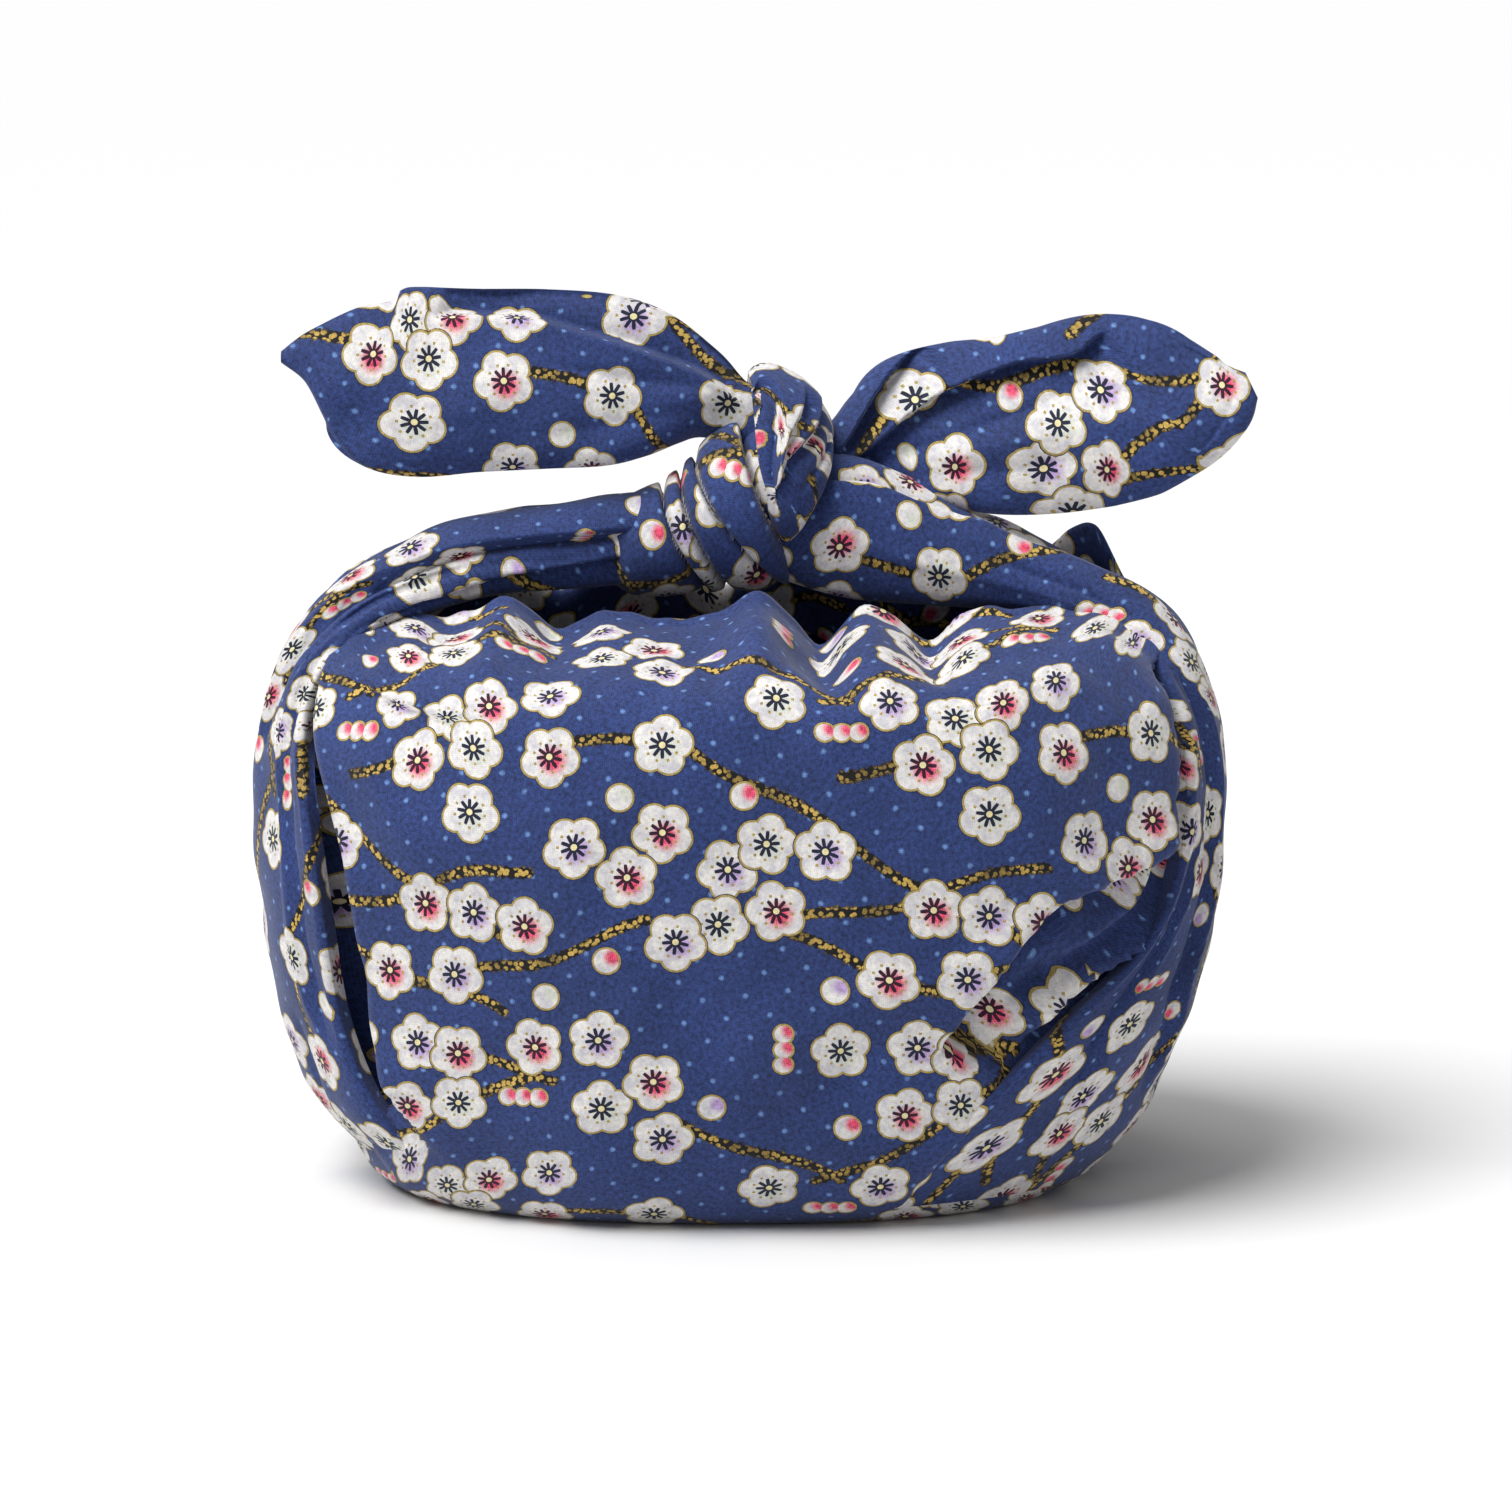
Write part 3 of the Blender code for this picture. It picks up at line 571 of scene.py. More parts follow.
# an "over" fold: rise, reach, dip, the dip's reach, edge, hidden cloth, and the share of the line over
# which it fades at each end; a crease: depth, breadth, fade
frontFolds = (
    ("over", (3.6, 22, 10.0, 12, 1.1, 12, 0.08), (
        (42, 40), (46.5, 47.6), (52.7, 55.2), (56.9, 61.7), (60.3, 65.8), (66.7, 71), (73, 73.3),
        (81.5, 75.4), (87, 77.8), (90.2, 82), (91.6, 90.7), (92, 101.8), (90.8, 111), (88.5, 119))),
    ("over", (3.2, 8, 9.5, 7, 1.1, 4, 0.12), (
        (60, 40), (68, 47), (75.2, 52.0), (85.2, 56.4), (91.2, 60.1), (95.4, 66.5), (97.6, 73),
        (97.6, 81), (96, 90))),
    ("over", (2.8, 6, 8.0, 6, 0.8, 7, 0.16), (
        (64, 36), (75.4, 46.0), (85.3, 53.7), (92, 58.5), (97, 66))),
    ("over", (2.0, 9, 28.0, 30.0, 1.5, 15.5, 0.07), (
        (-89.5, 122.5), (-90.6, 119), (-91.2, 114), (-91, 106), (-89.8, 98), (-87.8, 91), (-85.4, 82),
        (-83.8, 72), (-82.8, 63), (-81.2, 55), (-80, 44), (-78.6, 37), (-76.5, 30), (-73, 24))),
    ("over", (1.3, 8, 2.2, 7, 0.9, 6, 0.3), ((-82, 36), (-77.5, 30), (-70, 21), (-60, 12))),
    ("crease", (1.8, 2.4, 0.3), ((-88, 36), (-84.6, 28), (-80, 19), (-74, 10))),
    ("crease", (1.1, 4.0, 0.4), ((-62, 22), (-48, 15), (-34, 9))),
    ("crease", (1.3, 5.0, 0.35), ((48, 58), (30, 44), (12, 30), (-4, 20))),
    ("crease", (-1.2, 5.0, 0.35), ((38, 62), (20, 50), (2, 38))),
    ("crease", (0.9, 3.0, 0.4), ((62, 92), (74, 84), (88, 88))),
    ("crease", (-0.8, 3.0, 0.4), ((60, 84), (72, 79), (84, 80))),
    ("crease", (1.2, 3.5, 0.4), ((-88, 104), (-80, 86), (-70, 62))),
    ("crease", (-1.1, 4.0, 0.4), ((-84, 110), (-74, 94), (-62, 74))),
    ("crease", (1.3, 3.0, 0.3), ((28, 60), (44, 64), (57, 74), (66, 86))),
    ("over", (2.2, 5, 5.5, 5, 1.6, 0, 0.25), (
        (61, 53.5), (70, 58.5), (79, 62.3), (87, 67.4), (91.6, 75), (93.8, 85), (94, 97))),
    ("crease", (2.4, 2.0, 0.35), ((56, 48), (62, 54), (70, 60), (80, 66))),
    ("over", (1.3, 8, 1.2, 6, 0.8, 3, 0.3), (
        (-88, 119), (-80, 116), (-72, 113), (-62, 111.5), (-50, 113))),
    ("crease", (1.0, 5.5, 0.4), ((-30, 104), (-26, 86), (-30, 62))),
    ("crease", (1.0, 6.0, 0.4), ((-8, 106), (-3, 86), (-12, 62), (-20, 44))),
    ("crease", (-0.9, 6.0, 0.4), ((16, 108), (24, 90), (20, 66))),
    ("crease", (-0.9, 5.0, 0.4), ((-44, 78), (-24, 62), (-14, 40))),
)
grooveFold = 3  # which of them is the groove beside the left strip
backFolds = (
    ("over", (2.8, 18, 3.4, 10, 1.2, 8, 0.15), ((50, 14), (60, 30), (74, 62), (86, 92), (90, 106))),
    ("over", (2.8, 18, 3.4, 10, 1.2, 8, 0.15), ((-90, 108), (-86, 94), (-76, 58), (-52, 26), (-44, 14))),
    ("crease", (1.6, 4, 0.35), ((-58, 98), (-46, 68), (-40, 34))),
    ("crease", (-1.3, 5, 0.35), ((-24, 110), (-20, 80), (-26, 50))),
    ("crease", (1.4, 4, 0.35), ((30, 106), (40, 76), (36, 44))),
    ("crease", (1.2, 6, 0.35), ((2, 60), (10, 38), (4, 16))),
    ("crease", (-1.2, 5, 0.35), ((56, 108), (62, 84), (60, 60))),
)


def planPoint(angle, halfWidth, halfDepth):
    power = 2 / pouch["planPower"]
    c, s = np.cos(angle), np.sin(angle)
    x = halfWidth * np.sign(c) * np.abs(c) ** power
    y = halfDepth * np.sign(s) * np.abs(s) ** power
    return np.stack([x, y], axis=-1)


def planAngles(count):
    # from the back round by the left, the front and the right, evenly spaced along the wall
    dense = np.linspace(-1.5 * math.pi, 0.5 * math.pi, 8001)
    steps = np.linalg.norm(np.diff(planPoint(dense, *pouch["widest"]), axis=0), axis=1)
    steps *= 0.75 + 0.25 * np.abs(np.sin(dense[1:]))  # a little closer on the front and the back
    along = np.concatenate([[0], np.cumsum(steps)])
    return np.interp(np.linspace(0, along[-1], count + 1)[:-1], along, dense)


def angleAt(x, halfWidth, back):
    share = np.clip(np.abs(x) / halfWidth, 0, 0.9999) ** (pouch["planPower"] / 2)
    angle = np.arccos(share * np.sign(x))
    return np.where(back, angle, -angle)


def outward(places):
    # the level direction away from the wall
    return unit(places[..., :2] / np.square(pouch["widest"]))


def wallSize(height):
    wall = np.array(pouch["rows"][pouch["baseRow"] : pouch["rimRow"] + 1], float)
    return np.interp(height, wall[:, 0], wall[:, 1]), np.interp(height, wall[:, 0], wall[:, 2])


def waves(x, table):
    return sum(rise * np.exp(-(((x - place) / breadth) ** 2)) for place, rise, breadth in table)


def evenPlaces(rows, pitch):
    # places along the rows' curve that are about pitch apart
    fine = np.linspace(0, len(rows) - 1, 4000)
    curve = readRows(rows, fine)
    along = np.concatenate([[0], np.cumsum(np.linalg.norm(np.diff(curve, axis=0), axis=1))])
    return np.interp(np.linspace(0, along[-1], int(along[-1] / pitch) + 1), along, fine)


def evenRows(form, columns):
    # a form's rows, read at even places along the curve of some of their columns
    rows = np.array(form["rows"], float)
    at = evenPlaces(rows[:, columns], form["pitch"])
    return at, readRows(rows, at)


def makePouch(underStrips):
    at, sections = evenRows(pouch, [0, 2])
    sections = np.maximum(sections, (0, pouch["leastHalf"], pouch["leastHalf"]))
    angles = planAngles(pouch["around"])
    columns = len(angles)
    grid = np.empty((len(at), columns, 3))
    # one column of the grid follows the groove, so that the panel's edge is a clean line
    groove = curveThrough(frontFolds[grooveFold][2])[::-1]
    onGroove = int(np.argmin(np.abs(angles - angleAt(pouch["grooveAcross"], pouch["widest"][0], False))))
    near = smooth(1 - np.abs(np.arange(columns) - onGroove) / pouch["grooveColumns"])
    for i, (height, halfWidth, halfDepth) in enumerate(sections):
        across = max(np.interp(height, groove[:, 1], groove[:, 0]), -pouch["grooveLimit"] * halfWidth)
        turn = angleAt(across, halfWidth, False) - angles[onGroove]
        grid[i, :, :2] = planPoint(angles + turn * near * smooth((height - 6) / 16), halfWidth, halfDepth)
        grid[i, :, 2] = height
    x, y, z = (grid[..., i].copy() for i in range(3))
    flat = np.stack([x, z], axis=-1)
    place = at[:, None] * np.ones_like(x)
    wallStart, wallEnd = pouch["wallRows"]
    onWall = smooth((place - wallStart) / 2.2) * smooth((wallEnd - place) / 2.5)
    front, back = smooth((-y + 3) / 6), smooth((y + 3) / 6)
    frontHeight, frontSlide = handFolds(flat, frontFolds)
    backHeight, backSlide = handFolds(flat, backFolds)
    bulge = front * frontHeight + back * backHeight
    bulge += unevenness(x + 0.7 * y, z, *pouch["unevenness"])
    bulge = bulge * onWall
    tucked = np.zeros_like(x)
    for edge, facing, side, inset in underStrips:
        distance = beside(flat, edge)[0]
        tucked = np.maximum(tucked, (y * facing > 0) * smooth((distance * side - inset) / 3))
    bulge = bulge * (1 - tucked) + pouch["underStrip"] * tucked * onWall
    smoothWall = grid.copy()
    grid[..., :2] += outward(smoothWall) * bulge[..., None]
    grid[..., 0] += pouch["footLean"] * smooth(1 - z / pouch["footHeight"]) * smooth((place - 1.6) / 0.4)
    # the mouth: waves that fan out towards the shoulder, and a soft unevenness
    waveStart, waveEnd = pouch["waveRows"]
    rimShare = smooth((place - waveStart) / (waveEnd - waveStart))
    spread = x * (1 - pouch["waveDrift"] * (1 - rimShare))
    backWave = waves(spread, pouch["backWaves"]) + pouch["backRise"]
    wave = np.where(y < 0, waves(spread, pouch["frontWaves"]), backWave)
    grid[..., 2] += wave * rimShare * smooth((90 - np.abs(x)) / 12)
    grid[..., 2] += smooth((place - 12.5) / 2) * unevenness(x * 1.6, y, *pouch["rimUnevenness"])
    # flat cloth: one chart for the front and one for the back, both from the wall's middle
    closed = np.concatenate([smoothWall, smoothWall[:, :1]], axis=1)
    around = runLengths(closed, 1)
    whole, around = around[:, -1:], around[:, :-1]
    backX, backZ = pouch["backOrigin"]
    frontAcross = around - around[:, columns // 2 : columns // 2 + 1]
    backAcross = np.where(np.arange(columns) < columns // 2, around, around - whole) + backX
    up = runLengths(smoothWall, 0)
    up = up - up[np.argmin(np.abs(at - pouch["baseRow"]))][None, :]
    shownSlide = (onWall * (1 - tucked))[..., None]
    frontUv = np.stack([frontAcross, up], axis=-1) + frontSlide * shownSlide
    backUv = np.stack([backAcross, up + backZ], axis=-1) + backSlide * shownSlide * np.array([-1, 1])
    under = place < pouch["baseRow"]
    baseDepth = pouch["rows"][pouch["baseRow"]][2]
    frontUv[under] = np.stack([x, -(y + baseDepth)], axis=-1)[under]
    backUv[under] = np.stack([backX - x, backZ + (y - baseDepth)], axis=-1)[under]
    charts = np.stack([frontUv.reshape(-1, 2), backUv.reshape(-1, 2)])

    def placesOf(faces):
        column = faces % columns
        first = np.where(column.max(1) - column.min(1) > 1, columns - 1, column.min(1))
        onFront = (first >= columns // 4) & (first < 3 * columns // 4)
        places = np.where(onFront[:, None, None], charts[0][faces], charts[1][faces])
        # the last column of the back's chart runs on into its first
        step = places[:, :1, 0] - places[..., 0]
        jump = ~onFront[:, None] & (np.abs(step) > 100)
        places[..., 0] += np.where(jump, np.sign(step) * whole[faces[:, 0] // columns], 0)
        return places

    return clothPiece("pouchCloth", grid, placesOf, closedRound=True)


# ---- the gathered sides and the bands that they become

leftStrip = {
    "name": "leftBand",
    # lines across the cloth on the wall: front end, back end, stand-off and pleat height
    "gathers": (
        (-62, 5, -58, 5, -2.5, 0.2), (-73.5, 18, -70, 18, 1.8, 0.5), (-81, 30, -79, 29, 3.0, 0.9),
        (-86, 45, -84, 44, 2.8, 1.2), (-88.6, 63, -86, 62, 2.4, 1.3), (-91, 80, -88, 80, 2.4, 1.4),
        (-93.2, 99, -90, 98, 2.4, 1.5),
    ),
    # x, y, z, half breadth, stand-off, half angle of the C, pleat height
    "band": (
        (-92, 0, 113, 31, 8.0, 95, 1.8), (-82.5, 0, 125, 23, 8.5, 105, 1.8),
        (-69, 0, 132, 17.5, 9.0, 118, 1.7), (-54, 0, 136.8, 14.5, 9.5, 130, 1.5),
        (-38, 0, 138.8, 12.5, 10, 140, 1.3), (-20, 0, 140.5, 10.5, 10, 145, 1.0),
    ),
    "pleats": 2.6,
    "phase": 0.42,
    "turn": 8.0,  # degrees from the band's length to the print's across
    "origin": (31.0, 44.0),
    "seed": 21,
    # folds along the band: rows passed and share across, -1 at the front edge and 1 at the back
    "folds": (
        ("over", (1.3, 5, 2.2, 4, 0.6, 5, 0.2), ((2.2, -0.86), (4, -0.8), (6, -0.78), (8, -0.8))),
        ("over", (1.4, 5, 4.6, 3, 0.6, 9, 0.15), (
            (5.5, -0.4), (7.2, -0.42), (8.4, -0.46), (9.6, -0.5), (10.8, -0.5), (12.4, -0.5))),
        ("over", (1.2, 4, 2.4, 4, 0.5, 8, 0.15), (
            (8.0, -0.96), (9.2, -0.92), (10.4, -0.82), (12.4, -0.68))),
        ("crease", (1.8, 1.3, 0.2), ((3, -0.2), (5, -0.16), (7, -0.14), (8.6, -0.05))),
        ("crease", (1.4, 1.2, 0.3), ((7.4, -0.66), (8.6, -0.7), (10, -0.68))),
        ("crease", (1.8, 1.4, 0.2), ((2.5, 0.25), (5, 0.2), (7.5, 0.2), (10, 0.26), (12, 0.22))),
        ("crease", (1.6, 1.3, 0.2), ((3, 0.62), (5, 0.6), (7.5, 0.62), (10, 0.6), (12, 0.62))),
        ("crease", (1.4, 1.2, 0.3), ((0.5, 0.1), (1.5, 0.05), (3, 0.02), (4.5, 0.04))),
        ("crease", (1.4, 1.2, 0.3), ((0.5, -0.45), (1.5, -0.55), (3, -0.62))),
    ),
}
rightStrip = {
    "name": "rightBand",
    "gathers": (
        (33, 4, 58, 5, -2.5, 0.2), (43.5, 19.5, 70, 14, 0.2, 0.6), (56.5, 34, 79, 28, 1.3, 1.1),
        (69.5, 45.5, 83, 42, 2.0, 1.5), (86.5, 59.5, 86, 58, 2.2, 1.7), (94.6, 77, 88, 77, 2.5, 1.8),
        (95.8, 97, 89.5, 97, 2.6, 2.0),
    ),
    "band": (
        (93, 0, 112, 29, 8.0, 95, 1.6), (86, 0, 121.5, 22, 7.8, 105, 1.4),
        (74, 0, 127.8, 17.5, 8.2, 115, 1.1), (59, -1, 132.8, 15, 9.6, 125, 0.7),
        (43, -2, 137.2, 13.5, 13, 132, 0.45), (26, -2, 142, 12.5, 16.5, 138, 0.4),
        (9, -1, 145, 10.5, 14.5, 140, 0.4),
    ),
    "pleats": 2.6,
    "phase": 0.5,
    "turn": 188.0,
    "origin": (70.0, 12.0),
    "seed": 22,
    "folds": (
        ("over", (1.9, 5, 3.0, 5, 0.5, 5, 0.12), (
            (12.9, -0.34), (11.6, -0.3), (10.6, -0.26), (9.6, -0.24), (8.6, -0.24), (7.2, -0.26))),
        ("crease", (1.1, 1.6, 0.3), ((7.4, -0.62), (8.6, -0.6), (9.8, -0.56), (11, -0.5))),
        ("crease", (-0.9, 1.8, 0.3), ((8.4, -0.8), (9.6, -0.76), (11, -0.72), (12.4, -0.66))),
        ("over", (1.6, 5, 2.6, 4, 0.6, 6, 0.2), (
            (1.2, -0.2), (2.4, -0.3), (3.6, -0.5), (5, -0.6), (6.4, -0.66), (7.6, -0.6))),
        ("over", (1.2, 4, 2.0, 4, 0.6, 5, 0.25), (
            (0.6, -0.62), (1.6, -0.66), (2.8, -0.76), (4.2, -0.84), (6, -0.84))),
        ("crease", (1.8, 1.5, 0.2), ((0.8, 0.1), (2, 0.05), (4, -0.1), (6, -0.16), (8, -0.05))),
        ("crease", (1.8, 1.4, 0.2), ((1.5, 0.45), (4, 0.3), (6.5, 0.28), (9, 0.3), (12, 0.3))),
        ("crease", (1.6, 1.3, 0.2), ((3, 0.72), (5, 0.66), (7.5, 0.64), (10, 0.62), (12, 0.64))),
    ),
}
stripCloth = {
    "acrossSteps": 84,
    "tuckSteps": 9,  # on each edge
    "lengthSteps": 230,
    "pitch": 0.9,  # mm between the places that the rows are read at
    "tuckAngle": 205,  # degrees round the band that its edges turn to
    "unevenness": ((40, 15), (0.5, 0.25)),
    "tuck": 5.0,  # mm that the edges go in under the wall's cloth
    "rowSpan": 15.0,  # mm that one row of a fold's table stands for
    "halfSpan": 27.0,  # mm from the middle of the cloth to its edge
}


def stripOutlines(form):
    # one outline for each row: the outer face from v = -1 to 1, and a turned-in edge beyond each
    s = stripCloth
    v = np.linspace(-1, 1, s["acrossSteps"])
    tuck = np.linspace(0, 1, s["tuckSteps"] + 1)[1:]
    outlines = []
    for frontX, frontZ, backX, backZ, lift, pleat in form["gathers"]:
        frontAngle = angleAt(frontX, wallSize(frontZ)[0], False)
        backAngle = angleAt(backX, wallSize(backZ)[0], True) - (2 * math.pi if frontX < 0 else 0)
        share = (v + 1) / 2
        angle = frontAngle + share * (backAngle - frontAngle)
        height = frontZ + share * (backZ - frontZ)
        flat = planPoint(angle, *wallSize(height))
        out = outward(flat)
        rise = (lift + 0.6 + pleat * pleats(v, form["pleats"], form["phase"])) * (1 - v**8) ** 0.5
        face = np.column_stack([flat + out * rise[:, None], height])
        ends = []
        for end, way in ((0, 1), (-1, -1)):
            inward = unit((face[end + 3 * way] - face[end])[None, :2])[0]
            turned = face[end] - np.append(out[end], 0) * (s["tuck"] * smooth(tuck))[:, None]
            turned += np.append(inward, 0) * (2.0 * smooth(tuck))[:, None]
            ends.append(turned)
        outlines.append(np.concatenate([ends[0][::-1], face, ends[1]]))
    centres = np.array([row[:3] for row in form["band"]], float)
    tangents = unit(np.gradient(centres, axis=0))
    for (x, y, z, across, out, halfAngle, pleat), tangent in zip(form["band"], tangents):
        side = np.array([0.0, 1.0, 0.0])
        away = unit(np.cross(tangent, side))
        away *= np.sign(away[2])
        whole = np.concatenate([-1 - tuck[::-1] * 0.01, v, 1 + tuck * 0.01])
        beyond = np.clip((np.abs(whole) - 1) / 0.01, 0, 1)
        turned = np.sign(whole) * beyond * (s["tuckAngle"] - halfAngle)
        phi = np.radians(np.clip(whole, -1, 1) * halfAngle + turned)
        size = 1 - 0.45 * smooth(beyond)
        grow = pleat * pleats(whole, form["pleats"], form["phase"]) * (1 - beyond)
        ray = np.sin(phi)[:, None] * side * (across * size + grow)[:, None]
        ray = ray + np.cos(phi)[:, None] * away * (out * size + grow)[:, None]
        outlines.append(np.array([x, y, z]) + ray)
    return np.array(outlines)


def makeStrip(form):
    s = stripCloth
    outlines = stripOutlines(form)
    at = evenPlaces(outlines[:, outlines.shape[1] // 2], s["pitch"])
    at = np.interp(np.linspace(0, 1, s["lengthSteps"]), np.linspace(0, 1, len(at)), at)
    grid = readRows(outlines, at)
    v = np.pad(np.linspace(-1, 1, s["acrossSteps"]), s["tuckSteps"], constant_values=(-1.2, 1.2))
    place = np.stack(np.meshgrid(at * s["rowSpan"], v * s["halfSpan"], indexing="ij"), axis=-1)
    depth, slide = handFolds(place, onCloth(form, (s["rowSpan"], s["halfSpan"])))
    depth += unevenness(place[..., 0], place[..., 1], form["seed"], *s["unevenness"])
    # the folds fade towards the strip's foot and its edges, and the tucked cloth has none
    seat = smooth(at / 1.5)[:, None] * (np.abs(v) <= 1)[None, :] * smooth((1 - np.abs(v)) / 0.08)[None, :]
    normals = gridNormals(grid)
    middle = grid.mean(axis=(0, 1)) * np.array([0.6, 0, 0.8])
    normals *= np.sign(((grid - middle) * normals).sum(-1).mean())
    places = flatPlaces(grid, form, slide)
    return clothPiece(form["name"], grid + normals * (depth * seat)[..., None], places)


# ---- the knot

knotForm = {
    "rows": (  # the lower wrap: x, z, half height, half depth
        (-28.6, 138.5, 1.5, 2), (-27.6, 138.5, 6.0, 6.5), (-25, 139, 8.3, 9.4), (-20.5, 140, 10.2, 11.6),
        (-14.5, 141.9, 12.2, 13.5), (-8, 144.6, 14.4, 15.2), (-1.3, 147, 16.3, 16), (6, 149, 17.3, 16),
        (12, 149.5, 15, 14), (15.5, 149.5, 9, 9), (16.6, 149.5, 2, 2),
    ),
    # where each strip of the lower wrap begins: place across at the heights below, its rise, and the
    # place on the cloth that it shows
    "stripHeights": (131, 148, 165),
    "strips": (
        (-40, -40, -40, 0.6, (0, 0)), (-7.5, -16.2, -14.5, 0.2, (9, 15)),
        (-2.5, -11.6, -12.2, 0.7, (-14, 7)), (12, -5.3, -10.4, 1.9, (26, -9)),
        (14.5, 5.4, 0.2, -1.6, (5, 31)), (40, 40, 40, 0.0, (0, 0)),
    ),
    "stripRound": 2.3,
    "gapDepth": 2.4,
    "gapBreadth": 0.55,
    "wound": (-225, 150),  # degrees, from one edge to the other
    "steps": 190,
    "pitch": 0.35,
    "leastHalf": 0.4,
    "inset": 0.8,  # mm that its valleys lie in from the rows' sizes
    "overlapFrom": -175,  # degrees, from where its first edge lies under its last
    "overlap": 1.6,  # mm
    "turn": 20.0,
    "origin": (12.0, 20.0),
}
tongueForm = {
    # x, y, z, half breadth, stand-off
    "rows": (
        (9.3, -11.5, 143.5, 2.0, 3.0), (10, -14.5, 148, 4.5, 4.5), (10.6, -15, 152, 6.6, 5.5),
        (11, -14.3, 157, 8.6, 6.5), (11.2, -12, 162, 10.2, 7), (11, -7.5, 166.8, 11, 7),
        (10.5, -1, 169.2, 11.5, 7), (10.5, 7, 166, 12, 6.5), (9, 12, 158.5, 11, 6),
        (6, 13, 149, 8.5, 5.5), (3, 10, 139, 5, 5),
    ),
    "centre": (5, 0, 157),
    "lean": -0.3,
    "halfAngle": 84,
    "acrossSteps": 84,
    "pitch": 0.5,
    "edgeSteps": 6,  # that each edge is turned in by
    "edgeDrop": 2.2,  # mm
    "spans": (7.0, 13.0),  # mm that one row and half the breadth of a fold's table stand for
    "folds": (  # rows passed and share across, -1 at the left and 1 at the right
        ("over", (1.2, 3, 3.2, 3, 0.45, 8, 0.1), (
            (1.6, -0.55), (2.8, -0.52), (3.8, -0.42), (4.6, -0.45), (5.1, -0.6), (5.2, -0.8),
            (5.0, -0.98))),
        ("over", (1.3, 3, 2.6, 3, 0.45, 9, 0.15), (
            (6.2, 0.3), (5.2, 0.34), (4.6, 0.26), (3.8, 0.0), (3.0, -0.3), (2.2, -0.5), (1.2, -0.7))),
        ("over", (0.9, 2.5, 1.8, 3, 0.4, 7, 0.2), (
            (5.6, 0.02), (4.8, -0.02), (4.2, -0.16), (3.4, -0.36), (2.4, -0.52))),
        ("crease", (1.6, 1.0, 0.25), ((5.6, 0.72), (4.4, 0.6), (3.2, 0.3), (2.0, -0.05))),
        ("crease", (1.4, 1.0, 0.3), ((6, -0.6), (7.5, -0.5), (9, -0.4))),
        ("crease", (1.4, 1.0, 0.3), ((6, 0.4), (7.5, 0.3), (9, 0.3))),
    ),
    "turn": -72.0,
    "origin": (40.0, 66.0),
    "unevenness": (31, (14,), (0.35,)),
}


def stripRelief(x, z):
    # round strips of the wrap, each starting where the last one goes in under it
    low, middleHeight, high = knotForm["stripHeights"]
    share = np.clip((z - low) / (high - low), 0, 1)
    edges = []
    for bottom, middle, top in (row[:3] for row in knotForm["strips"]):
        bend = 2 * middle - (top + bottom) / 2
        edges.append((1 - share) ** 2 * bottom + 2 * share * (1 - share) * bend + share**2 * top)
    edges = np.maximum.accumulate(np.array(edges), axis=0)
    relief, shown = np.zeros_like(z), np.zeros(z.shape + (2,))
    for i in range(len(edges) - 1):
        wide = np.maximum(edges[i + 1] - edges[i], 0.6)
        f = (x - edges[i]) / wide
        inside = (f >= 0) & (f < 1)
        roundness = np.sqrt(np.clip(1 - (2 * f - 1) ** 2, 0, 1))
        roundness *= np.minimum(knotForm["stripRound"], 0.4 * wide)
        beyond = np.minimum(f, 1 - f) * wide / knotForm["gapBreadth"]
        gap = knotForm["gapDepth"] * np.exp(-(beyond**2))
        relief = np.where(inside, roundness + knotForm["strips"][i][3] - gap, relief)
        shown[inside] = knotForm["strips"][i][4]
    return relief, shown


def makeWrap():
    # wound once round the bands, its two edges lying over each other behind the knot
    at, rows = evenRows(knotForm, [0, 1])
    least = knotForm["leastHalf"]
    turns = np.linspace(*np.radians(knotForm["wound"]), knotForm["steps"])
    inward = knotForm["overlap"] * smooth((math.radians(knotForm["overlapFrom"]) - turns) / 0.5)
    grid, shown = np.empty((len(at), len(turns), 3)), np.empty((len(at), len(turns), 2))
    plain = np.empty_like(grid)
    for i, (x, z, halfHeight, halfDepth) in enumerate(rows):
        halfHeight, halfDepth = max(halfHeight, least), max(halfDepth, least)
        high = z + np.sin(turns) * halfHeight
        relief, shown[i] = stripRelief(np.full(len(turns), x), high)
        relief = relief * min(1.0, halfHeight / 9) - inward - knotForm["inset"]
        plain[i] = np.column_stack([x + 0 * turns, -np.cos(turns) * halfDepth, high])
        grid[i, :, 0] = x
        grid[i, :, 1] = -np.cos(turns) * (halfDepth + relief)
        grid[i, :, 2] = z + np.sin(turns) * (halfHeight + relief)
    return clothPiece("knotWrap", grid, flatPlaces(plain, knotForm) + shown)


